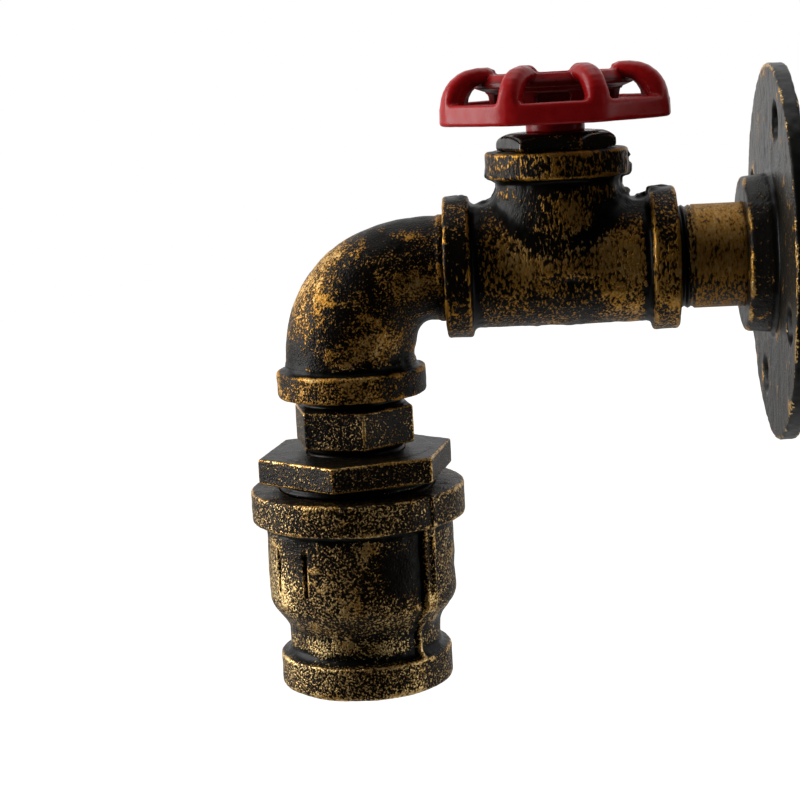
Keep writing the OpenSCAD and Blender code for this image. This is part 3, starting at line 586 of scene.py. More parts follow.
def dry_brush(name):
    """Shared effect: bronze rubbed over rough black paint, kept off hollows and heavy on edges."""
    tree, n, given, out = new_group(
        name, "ShaderNodeTree",
        {"Cover": 0.5, "Patches": 0.5, "Stretch": (1, 1, 1), "Speck": 1.0, "Most": 0.8, "Edges": 1.0,
         "Hollows": 1.0},
        {"Bronze": 0.0, "Tone": 0.0, "Height": 0.0})
    where = n.object_mm()
    along = n.vector("MULTIPLY", where, given["Stretch"])
    patch = n.noise(where, 0.085, 2.0, 0.5, 0.4)
    stroke = n.noise(along, 0.36, 3.0, 0.6, 0.3)
    speck = n.noise(along, given["Speck"], 1.2, 0.55, 0.35)
    grain = n.noise(where, 2.4, 1.0)

    patch_gain, stroke_gain, speck_gain, grain_gain = 3.6, 2.4, 4.0, 0.8
    cover = n.plus(given["Cover"], n.swing(patch, n.times(given["Patches"], patch_gain)))
    cover = n.plus(cover, n.swing(stroke, n.times(given["Patches"], stroke_gain)))
    cover = n.math("MINIMUM", n.plus(cover, n.attribute("rub")), given["Most"])
    worn = n.times(n.attribute("edge"), given["Edges"])
    thick = n.plus(cover, n.times(worn, 0.35))
    cover = n.math("SUBTRACT", n.plus(cover, worn), n.times(n.attribute("hollow"), given["Hollows"]))
    bits = n.plus(n.swing(speck, speck_gain), n.swing(grain, grain_gain))
    film = n.times(n.spread(cover, 0.4, 1.3), 0.22)
    n.put(out, {
        "Bronze": n.math("MAXIMUM", n.spread(n.plus(cover, bits), 0.12, 0.92), film),
        "Tone": n.plus(thick, n.times(bits, 0.7)),
        "Height": n.plus(n.times(speck, 0.7), n.times(grain, 0.3))})
    return tree


def fine_grain(name):
    """Shared effect: slight mottling and fine roughness of a plain finish."""
    tree, n, given, out = new_group(
        name, "ShaderNodeTree", {"Scale": 0.6, "Stretch": (1, 1, 1)}, {"Mottle": 0.0, "Height": 0.0})
    along = n.vector("MULTIPLY", n.object_mm(), given["Stretch"])
    coarse = n.noise(along, given["Scale"], 3.0)
    fine = n.noise(along, n.times(given["Scale"], 5.0))
    n.put(out, {
        "Mottle": n.spread(coarse, 0.3, 0.7),
        "Height": n.plus(n.times(coarse, 0.4), n.times(fine, 0.6))})
    return tree


def new_material(name):
    material = bpy.data.materials.new(name)
    material.use_nodes = True
    shader = next(x for x in material.node_tree.nodes if x.type == "BSDF_PRINCIPLED")
    return material, Nodes(material.node_tree), shader


def rgba(value, gain=1.0):
    return (*[min(1.0, c * gain) for c in value], 1.0)


def brushed_iron(name, paint, cover, patches, stretch=(1, 1, 1), speck=1.5, most=0.80, edges=0.9,
                 hollows=1.6, bump=0.42, pale=(0.3, 1.5), metal=0.72, rough=0.40, gloss=0.36, specular=0.13):
    """Black or charcoal paint with bronze rubbed over it."""
    material, n, shader = new_material(name)
    brush = n.group("Dry Brush", dry_brush, {
        "Cover": cover, "Patches": patches, "Stretch": stretch, "Speck": speck, "Most": most,
        "Edges": edges, "Hollows": hollows})
    bronze, hollow = brush["Bronze"], n.attribute("hollow")
    # Paler bronze where it lies thick; on the rubbed-up lit side this is partly a painted highlight
    rubbed = n.mix(n.spread(brush["Tone"], *pale), rgba(colours().bronze), rgba(colours().pale_bronze))
    # Painted shade: the paint goes down to 35 % of its colour where the hollow attribute is high
    shaded = n.mix(hollow, rgba(paint), rgba(paint, 0.35))
    height = n.plus(n.times(brush["Height"], 0.7), n.times(bronze, 0.3))
    height = n.times(height, n.spread(hollow, 0, 1, 1, 0.15))
    n.put(shader, {
        "Base Color": n.mix(bronze, shaded, rubbed), "Metallic": n.times(bronze, metal),
        "Roughness": n.spread(bronze, 0, 1, gloss, rough), "Normal": n.bump(height, bump, 0.8),
        "Specular IOR Level": specular})
    return material


def plain_finish(name, base, metallic=0.0, roughness=0.4, scale=0.6, stretch=(1, 1, 1), bump=0.02, vary=0.12,
                 coat=0.0, specular=0.5, hollows=0.0):
    """A single finish with slight mottling and fine grain, darker in hollows as painted shade."""
    material, n, shader = new_material(name)
    grain = n.group("Fine Grain", fine_grain, {"Scale": scale, "Stretch": stretch})
    mottle = grain["Mottle"]
    tint = n.mix(mottle, rgba(base, 1 - vary), rgba(base, 1 + vary))
    # Painted shade: in hollows the colour goes towards a tenth of the base
    if hollows:
        tint = n.mix(n.times(n.attribute("hollow"), hollows), tint, rgba(base, 0.1))
    n.put(shader, {
        "Base Color": tint, "Roughness": n.spread(mottle, 0, 1, roughness * 0.85, roughness * 1.15),
        "Normal": n.bump(grain["Height"], bump, 0.5), "Metallic": metallic, "Coat Weight": coat,
        "Coat Roughness": 0.08, "Specular IOR Level": specular})
    return material


UPRIGHT = (1.0, 1.0, 0.45)
CORE_LOOK = {"roughness": 0.45, "scale": 1.2}
FINISHES = {
    "tee_bronze": (brushed_iron, "black_paint", dict(
        cover=0.24, patches=0.50, stretch=UPRIGHT, speck=1.55, most=0.90, edges=1.3, pale=(0.5, 2.2),
        specular=0.08)),
    "nipple_bronze": (brushed_iron, "black_paint", dict(
        cover=0.90, patches=0.60, stretch=(1.3, 0.8, 0.45), speck=1.3, most=1.25, bump=0.14,
        pale=(0.7, 2.7), rough=0.62)),
    "elbow_bronze": (brushed_iron, "black_paint", dict(
        cover=0.12, patches=0.66, speck=1.8, most=0.92, edges=1.2, bump=0.48, pale=(0.48, 1.65), metal=0.86,
        rough=0.60, specular=0.06)),
    "cup_bronze": (brushed_iron, "black_paint", dict(
        cover=0.15, patches=0.24, speck=1.75, most=0.74, hollows=1.1, bump=0.48, pale=(0.1, 0.95), metal=0.94,
        rough=0.38, specular=0.07)),
    "hexagon_bronze": (brushed_iron, "black_paint", dict(
        cover=-0.12, patches=0.30, speck=1.9, edges=1.4, bump=0.48, pale=(0.1, 0.9), metal=0.94, rough=0.34,
        specular=0.09)),
    "flange_charcoal": (brushed_iron, "charcoal", dict(
        cover=-0.40, patches=0.22, speck=1.5, edges=2.4, bump=0.45, pale=(0.1, 0.9))),
    "bonnet_black": (brushed_iron, "black_paint", dict(
        cover=-0.55, patches=0.40, edges=1.1, bump=0.03, gloss=0.20, specular=0.40)),
    # The wheel's enamel is painted darker in its hollows and dish, as shade
    "wheel_enamel": (plain_finish, "red_enamel", dict(
        roughness=0.32, scale=0.35, bump=0.03, vary=0.08, specular=0.14, hollows=0.75)),
    "zinc_steel": (plain_finish, "steel", dict(
        metallic=1.0, roughness=0.34, scale=0.9, stretch=(1, 1, 0.2), bump=0.01)),
    "bright_brass": (plain_finish, "brass", dict(metallic=1.0, roughness=0.26, scale=0.8, bump=0.01)),
    "white_glaze": (plain_finish, "porcelain", dict(
        roughness=0.18, scale=0.25, bump=0.02, vary=0.04, coat=0.6)),
    "dark_moulding": (plain_finish, "phenolic", dict(roughness=0.35, scale=0.9, vary=0.25)),
    "natural_nylon": (plain_finish, "nylon", dict(roughness=0.45, scale=0.7, vary=0.04)),
    "matt_rubber": (plain_finish, "rubber", dict(roughness=0.65, scale=1.4, vary=0.2)),
    "brown_core": (plain_finish, "brown_core", CORE_LOOK),
    "blue_core": (plain_finish, "blue_core", CORE_LOOK),
    "green_core": (plain_finish, "green_core", CORE_LOOK),
}


def finish(name):
    """The named finish of this light, made once."""
    def make(key):
        maker, paint, settings = FINISHES[key]
        return maker(key, getattr(colours(), paint), **settings)

    return once(bpy.data.materials, name, make)


# Geometry Nodes


GEOMETRY, MATERIAL = "NodeSocketGeometry", "NodeSocketMaterial"


def end_tree(n, geometry, material, out):
    """Ends a geometry tree: instances are made real and get their material."""
    real = n.add("GeometryNodeRealizeInstances", {0: geometry}).outputs[0]
    done = n.add("GeometryNodeSetMaterial", {"Geometry": real, "Material": material}).outputs[0]
    n.put(out, {"Geometry": done})


def cut_thread(name):
    """Winds a thread into a turned body about Z, where the attribute thread says so."""
    tree, n, given, out = new_group(
        name, "GeometryNodeTree",
        {"Geometry": GEOMETRY, "Pitch": 0.0018, "Depth": 0.0009, "Rolled": 0.0, "Material": MATERIAL},
        {"Geometry": GEOMETRY})
    tree.is_modifier = True
    place = n.add("GeometryNodeInputPosition").outputs[0]
    x, y, z = n.add("ShaderNodeSeparateXYZ", {0: place}).outputs
    turn = n.math("DIVIDE", n.math("ARCTAN2", y, x), 2 * math.pi)
    phase = n.math("SUBTRACT", n.math("DIVIDE", z, given["Pitch"]), turn)
    sharp = n.times(n.math("PINGPONG", phase, 0.5), 2.0)
    wave = n.math("MULTIPLY_ADD", n.math("COSINE", n.times(phase, 2 * math.pi)), -0.5, 0.5)
    form = n.between(given["Rolled"], sharp, wave)
    here = n.add("GeometryNodeInputNamedAttribute", {"Name": "thread"}, data_type="FLOAT").outputs[0]
    depth = n.times(n.times(form, here), n.times(given["Depth"], -1.0))
    flat = n.add("ShaderNodeCombineXYZ", {0: x, 1: y}).outputs[0]
    out_of_axis = n.add("ShaderNodeVectorMath", {0: flat}, operation="NORMALIZE").outputs[0]
    offset = n.add("ShaderNodeVectorMath", {0: out_of_axis, "Scale": depth}, operation="SCALE").outputs[0]
    moved = n.add("GeometryNodeSetPosition", {"Geometry": given["Geometry"], "Offset": offset}).outputs[0]
    end_tree(n, moved, given["Material"], out)
    return tree


def clamp_screws(name):
    """Puts a slotted screw on each point."""
    tree, n, given, out = new_group(
        name, "GeometryNodeTree",
        {"Geometry": GEOMETRY, "Radius": 0.0015, "Height": 0.0026, "Slot Width": 0.0006, "Slot Depth": 0.0006,
         "Material": MATERIAL},
        {"Geometry": GEOMETRY})
    tree.is_modifier = True
    shank = n.add("GeometryNodeMeshCylinder", {
        "Vertices": 32, "Radius": given["Radius"], "Depth": given["Height"]}).outputs["Mesh"]
    size = n.add("ShaderNodeCombineXYZ", {
        0: n.times(given["Radius"], 3.0), 1: given["Slot Width"],
        2: n.times(given["Slot Depth"], 2.0)}).outputs[0]
    blade = n.add("GeometryNodeMeshCube", {"Size": size}).outputs["Mesh"]
    top = n.add("ShaderNodeCombineXYZ", {2: n.times(given["Height"], 0.5)}).outputs[0]
    blade = n.add("GeometryNodeTransform", {"Geometry": blade, "Translation": top}).outputs[0]
    screw = n.add(
        "GeometryNodeMeshBoolean", {"Mesh 1": shank, "Mesh 2": blade}, operation="DIFFERENCE").outputs[0]
    spots = n.add("GeometryNodeInstanceOnPoints", {"Points": given["Geometry"], "Instance": screw}).outputs[0]
    end_tree(n, spots, given["Material"], out)
    return tree


def placed(name, data):
    """New object in the scene."""
    obj = bpy.data.objects.new(name, data)
    bpy.context.scene.collection.objects.link(obj)
    return obj


def through_tree(mesh, name, make, **values):
    """The mesh that a geometry tree makes of this mesh, as a plain mesh."""
    tree = once(bpy.data.node_groups, name, make)
    carrier = placed(mesh.name + "_carrier", mesh)
    modifier = carrier.modifiers.new(tree.name, "NODES")
    modifier.node_group = tree
    for item in tree.interface.items_tree:
        key = item.name.replace(" ", "_")
        if item.in_out == "INPUT" and key in values:
            modifier[item.identifier] = values.pop(key)
    if values:
        raise RuntimeError(f"{tree.name} has no input named {sorted(values)}")
    graph = bpy.context.evaluated_depsgraph_get()
    made = bpy.data.meshes.new_from_object(carrier.evaluated_get(graph), depsgraph=graph)
    carrier.modifiers.remove(modifier)
    bpy.data.objects.remove(carrier)
    if not made.polygons:
        raise RuntimeError(f"{tree.name} made no faces")
    return made


def threaded(mesh, pitch, depth, material, rolled=0.0):
    """The same turned mesh with its thread cut, pitch and depth in millimetres."""
    return through_tree(mesh, "Cut Thread", cut_thread, Pitch=pitch * MM, Depth=depth * MM, Rolled=rolled,
                        Material=finish(material))


# Pieces


def dress(mesh, name):
    mesh.materials.clear()
    mesh.materials.append(finish(name))


def piece(name, mesh, material, body, slot, *nodes):
    """Puts a mesh into the scene as a piece that rides on a body and stands for CAD nodes."""
    if material is not None:
        dress(mesh, material)
    obj = placed(name, mesh)
    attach(obj, body)
    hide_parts(*nodes)


class FlangeBuilder(bpy.types.Operator):
    """Cast wall flange with its hub and countersunk screw holes"""

    bl_idname = "pipelight.flange"
    bl_label = "Wall Flange"

    def execute(self, context):
        outer, plate, face, hub = FLANGE_HIGH[1], 4.0, -FLANGE_LOW[0], 20.0
        edge, rear_edge, hub_edge, fillet = size_mm("edge_round"), 0.5, 1.1, 1.0
        section = Outline(
            [(AXIS, 0)] + arc(outer - rear_edge, rear_edge, rear_edge, -90, 0)
            + arc(outer - edge, plate - edge, edge, 0, 90)
            + arc(hub + 0.5 + fillet, plate + fillet, fillet, -90, -175)
            + arc(hub - hub_edge, face - hub_edge, hub_edge, 3, 90) + [(AXIS, face)])
        circle, hole, count, turn = 37.0, 3.25, 4, 22.5
        sink_from, sink_width = plate - 2.0, 2.4
        angles = [math.radians(turn + 360 * i / count) for i in range(count)]

        def from_hole(y, z):
            """Distance from the axis of the nearest screw hole."""
            return np.minimum.reduce(
                [np.hypot(y + circle * math.sin(a), z - circle * math.cos(a)) for a in angles])

        def shape(x, y, z):
            d = section(np.hypot(y, z), -x)
            d = cut(d, np.hypot(y, z) - SEAT_R, 0.5)
            radius = hole + np.clip(-x - sink_from, 0, 4)
            return cut(d, (from_hole(y, z) - radius) * 0.85, 0.6)

        # Painted shade: the screw holes, the rim and the rear face are darkened and kept free of bronze
        def shade_and_recess(x, y, z):
            in_hole = np.clip((hole + sink_width - from_hole(y, z)) / 0.5, 0, 1)
            on_rim = np.clip((np.hypot(y, z) - outer + 0.5) / 0.3, 0, 1)
            on_rear = np.clip((x + 0.6) / 0.3, 0, 1)
            return np.maximum(in_hole, np.maximum(on_rim, on_rear))

        mesh = casting("wall_flange_cast", shape, FLANGE_LOW, FLANGE_HIGH, size_mm("casting_step"), 11,
                       shade_and_recess=shade_and_recess)
        piece("flange", mesh, "flange_charcoal", "wall_mount", "flange_iron", "wall_flange")
        return {"FINISHED"}


class NippleBuilder(bpy.types.Operator):
    """Short pipe nipple between flange and tee, with the thread that shows beside the tee"""

    bl_idname = "pipelight.nipple"
    bl_label = "Pipe Nipple"

    def execute(self, context):
        length = NIPPLE_HIGH[0] - NIPPLE_LOW[0]
        bore, chamfer, step = 10.8, 0.4, 0.22
        from_wall, to_tee = 8.0, length - 17.2
        outer = dense([(THREAD_R, chamfer), (THREAD_R, from_wall - 0.3)], step)
        plain = dense([(PIPE_R, from_wall), (PIPE_R, to_tee)], 0.8)
        inner_end = dense([(PIPE_R - 0.05, to_tee + 0.2), (PIPE_R - 0.05, length - 13.3),
                           (THREAD_R, length - 12.9), (THREAD_R, length - chamfer)], step)
        profile = [(bore + chamfer, 0), (THREAD_R - chamfer, 0)] + outer + plain + inner_end
        profile += [(THREAD_R - chamfer, length), (bore + chamfer, length)]
        profile += dense([(bore, length - chamfer), (bore, chamfer)], 2.0)
        thread = [0, 0] + [1] * len(outer) + [0] * len(plain) + [1] * len(inner_end)
        thread += [0] * (len(profile) - len(thread))
        # Painted shade: the thread is marked hollow, most towards the tee's mouth, which darkens its paint and
        # keeps bronze off it
        dark_from, dark_span, least, most = length - 16.2, 1.2, 0.35, 1.2
        dark = [min(most, max(least, (h - dark_from) / dark_span)) for _, h in profile]
        hollow = [t * d for t, d in zip(thread, dark)]
        mesh = turned_mesh("nipple_plain", profile, Matrix(), 128, thread=thread, hollow=hollow)
        mesh = threaded(mesh, size_mm("pipe_pitch"), 0.55, "nipple_bronze")
        mesh.transform(at(NIPPLE_HIGH[0], 0, 0) @ ALONG_ARM)
        points = np.empty(len(mesh.vertices) * 3)
        mesh.vertices.foreach_get("co", points)
        below = -points[2::3] / MM
        mark(mesh, rub=0.2 - 0.6 * np.clip((below - 2) / 5, 0, 1))
        piece("nipple", mesh, None, "wall_mount", "bronzed_iron", "flange_nipple")
        return {"FINISHED"}


class TeeBuilder(bpy.types.Operator):
    """Cast tee with banded mouths and filleted crotch"""

    bl_idname = "pipelight.tee"
    bl_label = "Tee"

    def execute(self, context):
        body, band, width, seat = 16.15, TEE_HIGH[1], 6.8, 14.0
        mouth = mouth_band(band, width, body, size_mm("edge_round"), size_mm("band_fillet"))
        run = Outline([(AXIS, -TEE_HALF)] + [(r, w - TEE_HALF) for r, w in mouth]
                      + [(r, TEE_HALF - w) for r, w in mouth[::-1]] + [(AXIS, TEE_HALF)])
        rise = Outline(
            [(AXIS, 0), (body, 0)] + [(r, TEE_RISE - w) for r, w in mouth[::-1]] + [(AXIS, TEE_RISE)])
        way = [(AXIS, TEE_HALF + 2), (SEAT_R, TEE_HALF + 2), (SEAT_R, TEE_HALF - seat),
               (WAY_R, TEE_HALF - seat)]
        run_way = Outline([(r, -w) for r, w in way] + way[::-1])
        rise_way = Outline([(AXIS, -2), (WAY_R, -2), (WAY_R, TEE_RISE - seat), (SEAT_R, TEE_RISE - seat),
                            (SEAT_R, TEE_RISE + 2), (AXIS, TEE_RISE + 2)])
        blend = size_mm("crotch_fillet") / 0.85
        burrs = [(19, 17, 6, 0.9), (19, 26, 4, 0.9), (27, 19, 4, 0.5), (-17.5, 20, 4, 1.0), (-25, 19, 4, 0.6),
                 (-8, -16.5, 4, 0.3), (3, -16.5, 3, 0.4)]

        def ways(a, y, z):
            return np.minimum(run_way(np.hypot(y, z), a), rise_way(np.hypot(a, y), z))

        def shape(x, y, z):
            a = x - BRANCH_X
            d = joined(run(np.hypot(y, z), a), rise(np.hypot(a, y), z), blend)
            return cut(d, ways(a, y, z), 0.5)

        def flash(x, y, z):
            a = x - BRANCH_X
            high = sum(h * np.exp(-((a - at_x) ** 2 + (z - at_z) ** 2) / r ** 2)
                       for at_x, at_z, r, h in burrs)
            off_ways = ways(a, y, z) - 1.2
            off_ends = np.minimum(TEE_HALF - np.abs(a), TEE_RISE - z) - 0.6
            return high * np.exp(-(y / 3.5) ** 2) * np.clip(off_ways, 0, 1) * np.clip(off_ends, 0, 1)

        # Painted shade: the crotch where the branch meets the run, with its burrs, is darkened and kept free of
        # bronze
        def shade_and_recess(x, y, z):
            a = x - BRANCH_X
            off = run(np.hypot(y, z), a) - rise(np.hypot(a, y), z)
            crotch = np.exp(-(off / 1.7) ** 2) * np.clip((z - 1) / 8, 0, 1)
            crotch = crotch * (np.abs(a) < body + 3) * (z < body + 3)
            return np.maximum(crotch, np.clip(flash(x, y, z) / 0.3, 0, 1))

        rubs = [(BRANCH_X + a, *rest) for a, *rest in (
            (4, -16, 14, 5, 0.55), (13, -14, 14, 5, -0.35), (10, -17, 25, 8, -0.4), (14, -16, 3, 8, 0.5),
            (-11, -16, 2, 8, 0.9), (0, -15, -12, 11, -0.3), (2, -16, -6, 7, 0.15), (-26, -18, 4, 13, -0.7),
            (26, -18, -2, 12, 0.25), (-9, -14, 20, 6, -0.5))]
        mesh = casting("tee_cast", shape, TEE_LOW, TEE_HIGH, size_mm("casting_step"), 23,
                       shade_and_recess=shade_and_recess, rubs=rubs, flash=flash)
        piece("tee", mesh, "tee_bronze", "wall_mount", "bronzed_iron", "pipe_tee")
        return {"FINISHED"}


class BonnetBuilder(bpy.types.Operator):
    """Black hexagon bonnet under the valve wheel"""

    bl_idname = "pipelight.bonnet"
    bl_label = "Bonnet"

    def execute(self, context):
        flats, turn, top, edge = 27.0, -6.9, BONNET_HIGH[2], 0.9
        crown, fall, well_r = 12.7, 0.62, 10.2

        def shape(x, y, z):
            a = x - BRANCH_X
            about = np.hypot(a, y)
            d = rounded(hexagon(a, y, flats, turn), slab(z, TEE_RISE + 0.05, top), edge)
            cone = ((z - top) + (about - crown) * fall) / math.hypot(1, fall)
            d = common(d, cone, 1.0)
            shank = rounded(about - THREAD_R, slab(z, BONNET_LOW[2], TEE_RISE + 1.5), 0.4)
            well = rounded(about - well_r, slab(z, BONNET_LOW[2] - 5, top - 3), 0.3)
            return cut(cut(np.minimum(d, shank), well, 0.4), about - STEM_HOLE_R, 0.4)

        mesh = casting("bonnet_cast", shape, BONNET_LOW, BONNET_HIGH, size_mm("wheel_step"), 31, 0.06)
        piece("bonnet_hexagon", mesh, "bonnet_black", "wall_mount", "black_metal", "bonnet")
        return {"FINISHED"}


class WheelBuilder(bpy.types.Operator):
    """Red valve wheel: octagonal band, eight arched ribs and a dished hub"""

    bl_idname = "pipelight.wheel"
    bl_label = "Valve Wheel"

    def execute(self, context):
        ribs, turn = 8, math.radians(-24.2)
        sector = 2 * math.pi / ribs
        height, band_h = 14.2, 5.4
        base = WHEEL_HIGH[2] - height
        hub_low = WHEEL_LOW[2] - base
        half, soft = size_mm("rib_width") / 2, size_mm("rib_round")
        shell = Outline(arc(30.1, 1.0, 1.0, -90, 0, 4) + [
            (31.0, 4.2), (30.6, 7.0), (30.1, 8.7), (29.3, 10.1), (28.1, 11.5), (26.0, 13.0), (24.0, 13.8),
            (21.6, height), (19.0, height), (17.2, 13.5), (17.0, 11.6), (18.6, 10.6), (20.6, 10.2),
            (23.2, 9.6), (25.5, 8.0), (26.8, 6.3), (27.5, 4.5), (27.8, 0.5), (28.3, 0)])
        web = Outline([
            (27.3, 0.6), (28.2, 7.8), (22, 12.2), (18, 12.2), (18.6, 10.6), (20.6, 10.2), (22.5, 9.4),
            (24.0, 8.1), (25.0, 6.5), (25.5, 4.5), (25.6, 0.6)])
        dish = Outline([
            (AXIS, hub_low), (7.3, hub_low), (7.3, 1.0), (13.6, 1.6), (16.6, 4.0), (17.3, 8.2), (20.0, 9.2),
            (20.0, 10.0), (18.5, 12.0), (16.4, 12.0), (15.6, 10.2), (13.4, 5.4), (7.2, 5.2), (6.6, 6.4),
            (AXIS, 6.4)])
        slot_w, slot_low, slot_high, slot_from, slot_to = 8.6, 4.6, 7.4, 15.4, 21.0

        def shape(x, y, z):
            a, h = x - BRANCH_X, z - base
            r, t = np.hypot(a, y), np.arctan2(y, a) - turn
            t = t - sector * np.round(t / sector)
            u, v = r * np.cos(t), r * np.sin(t)
            past = np.abs(v) - half + 0.9
            out = u + math.tan(sector / 2) * (past + np.hypot(past, 2.2)) / 2
            kept = joined(np.abs(v) - half, h - band_h, 1.3)
            arch = rounded(shell(out, h), kept, soft * (1 + 1.2 * np.clip((h - band_h) / 4, 0, 1)))
            inner = rounded(web(u, h), np.abs(v) - half + 0.5, soft - 0.3)
            d = joined(np.minimum(arch, inner), dish(r, h) - 0.3, 0.8)
            m = sector / 2 - np.abs(t)
            across, depth = r * np.sin(m), r * np.cos(m)
            slot = rounded(rounded(np.abs(across) - slot_w / 2, slab(h, slot_low, slot_high), 0.9),
                           slab(depth, slot_from, slot_to), 0.3)
            return cut(cut(d, slot, 0.5), r - STEM_HOLE_R, 0.3)

        # Painted shade: the enamel inside the dish, under the ring, is darkened
        def shade_and_recess(x, y, z):
            r, h = np.hypot(x - BRANCH_X, y), z - base
            within = np.clip((24.5 - r) / 2, 0, 1)
            return within * np.clip((11.6 - h) / 1.2, 0, 1) * np.clip((h - 0.8) / 0.5, 0, 1)

        mesh = casting("wheel_cast", shape, WHEEL_LOW, WHEEL_HIGH, size_mm("wheel_step"), 41, 0.05, shade_and_recess)
        piece("wheel", mesh, "wheel_enamel", "valve_wheel", "red_enamel", "handwheel")
        return {"FINISHED"}


class StemBuilder(bpy.types.Operator):
    """Stem with its threaded end"""

    bl_idname = "pipelight.stem"
    bl_label = "Stem"

    def execute(self, context):
        base, top = STEM_LOW[2], STEM_HIGH[2]
        shoulder, shaft_r, edge_r, end_r = top - 5.9, 3.0, 2.6, 2.0
        end = dense([(end_r, shoulder + 0.3), (end_r, top - 0.5)], 0.1)
        profile = [(0, base), (edge_r, base), (shaft_r, base + 0.4), (shaft_r, shoulder - 0.3),
                   (edge_r, shoulder)]
        thread = [0] * len(profile) + [1] * len(end) + [0, 0]
        profile += end + [(end_r - 0.5, top), (0, top)]
        mesh = turned_mesh("stem_plain", profile, Matrix(), 64, thread=thread)
        mesh = threaded(mesh, 0.7, 0.38, "zinc_steel")
        mesh.transform(at(BRANCH_X, 0, 0))
        piece("stem_turned", mesh, None, "valve_wheel", "steel", "stem")
        return {"FINISHED"}


class ElbowBuilder(bpy.types.Operator):
    """Street elbow: slim neck at the tee, swelling bend and banded mouth"""

    bl_idname = "pipelight.elbow"
    bl_label = "Street Elbow"

    def execute(self, context):
        neck, shoulder, grow = THREAD_R + 0.35, TEE_LOW[0] - 0.3, 0.75
        edge, fillet = size_mm("edge_round"), size_mm("band_fillet")
        band_r, band_w, seat = HEAD_X - ELBOW_LOW[0], 7.0, 13
        band = Outline([(AXIS, 0)] + mouth_band(band_r, band_w, ELBOW_R, edge, fillet)
                       + [(ELBOW_R, band_w + fillet), (AXIS, band_w + fillet)])

        def shape(x, y, z):
            left, up = BEND_X - x, z + BEND_R
            bend = np.clip(np.arctan2(left, up), 0, math.pi / 2)
            on_bend = np.hypot(np.hypot(left, up) - BEND_R, y)
            on_arm, on_head = np.hypot(y, z), np.hypot(x - HEAD_X, y)
            line = np.where(left < 0, np.where(up < 0, np.minimum(on_arm, on_head), on_arm),
                            np.where(up < 0, on_head, on_bend))
            t = np.clip(bend / (math.pi / 2) / grow, 0, 1)
            radius = neck + (ELBOW_R - neck) * t * t * (3 - 2 * t)
            pipe = common(line - radius, np.maximum(x - shoulder, ELBOW_MOUTH + 1 - z), 0.6)
            tail = rounded(on_arm - THREAD_R, slab(x, shoulder - 2, ELBOW_HIGH[0]), 0.5)
            collar = rounded(on_arm - (neck + 0.3), slab(x, shoulder - 1.4, shoulder), 0.3)
            d = joined(joined(pipe, collar, 0.6), band(on_head, z - ELBOW_MOUTH), 1.2)
            d = np.minimum(d, tail)
            way = np.minimum(line - ELBOW_BORE_R, np.maximum(on_head - SEAT_R, z - (ELBOW_MOUTH + seat)))
            return cut(d, way, 0.5)

        # More bronze up the elbow's left, lit side; lying thick there it turns pale, partly a painted highlight
        rubs = [
            (-129, -8, -6, 11, 0.58), (-121, -9, 7, 9, 0.58), (-111, -9, 12, 6, 0.45),
            (-96, -14, -4, 5, 0.45), (-106, -16, -18, 7, 0.5), (-101, -8, 9, 10, -0.7),
            (-112, -15, 1, 8, -0.55), (-116, -17, -11, 5, -0.4), (-127, -10, -21, 7, -0.7),
            (-119, -18, -29, 7, -0.25), (-107, -17, -29, 6, 0.15)]
        mesh = casting("elbow_cast", shape, ELBOW_LOW, ELBOW_HIGH, size_mm("casting_step"), 53, rubs=rubs)
        piece("elbow", mesh, "elbow_bronze", "lamp_head", "bronzed_iron", "street_elbow")
        return {"FINISHED"}


class HexagonBuilder(bpy.types.Operator):
    """Hexagon nipple and large hexagon bushing"""

    bl_idname = "pipelight.hexagons"
    bl_label = "Hexagon Nipple and Bushing"

    def execute(self, context):
        soft, groove_depth = size_mm("hexagon_round"), 0.55
        nipple = {"flats": 29.0, "turn": -16.8, "low": ELBOW_MOUTH - 12.9, "high": ELBOW_MOUTH - 2.9,
                  "top": HEX_HIGH[2], "thread": THREAD_R, "bore": 9.8, "pitch": size_mm("pipe_pitch"),
                  "foot": 1.6}
        bushing = {"flats": 46.5, "turn": -39.1, "low": CUP_TOP + 2.7, "high": CUP_TOP + 9.5,
                   "top": BUSHING_HIGH[2], "thread": 20.75, "bore": SEAT_R, "pitch": 2.309, "foot": 0.5}

        def shape_of(g, low):
            def shape(x, y, z):
                a = x - HEAD_X
                about = np.hypot(a, y)
                block = rounded(hexagon(a, y, g["flats"], g["turn"]), slab(z, g["low"], g["high"]), soft)
                phase = z / g["pitch"] - np.arctan2(y, a) / (2 * math.pi)
                groove = groove_depth * 2 * np.abs(phase - np.round(phase))
                shank = rounded(about - g["thread"] + groove, slab(z, low, g["top"]), 0.4)
                return cut(joined(block, shank, g["foot"]), about - g["bore"], 0.5)

            return shape

        # Painted shade: the bare thread above and below each hexagon is darkened and kept free of bronze
        def shade_and_recess_of(g):
            def shade_and_recess(x, y, z):
                return np.clip(np.maximum(g["low"] - 0.2 - z, z - g["high"] - 0.2) / 0.4, 0, 1)

            return shade_and_recess

        for name, g, low, high, node, seed in (
                ("hexagon_nipple", nipple, HEX_LOW, HEX_HIGH, "hex_nipple", 61),
                ("hexagon_bushing", bushing, BUSHING_LOW, BUSHING_HIGH, "hex_bushing", 67)):
            mesh = casting(name + "_cast", shape_of(g, low[2]), low, high, size_mm("wheel_step"), seed, 0.09,
                           shade_and_recess_of(g))
            piece(name, mesh, "hexagon_bronze", "lamp_head", "bronzed_iron", node)
        return {"FINISHED"}


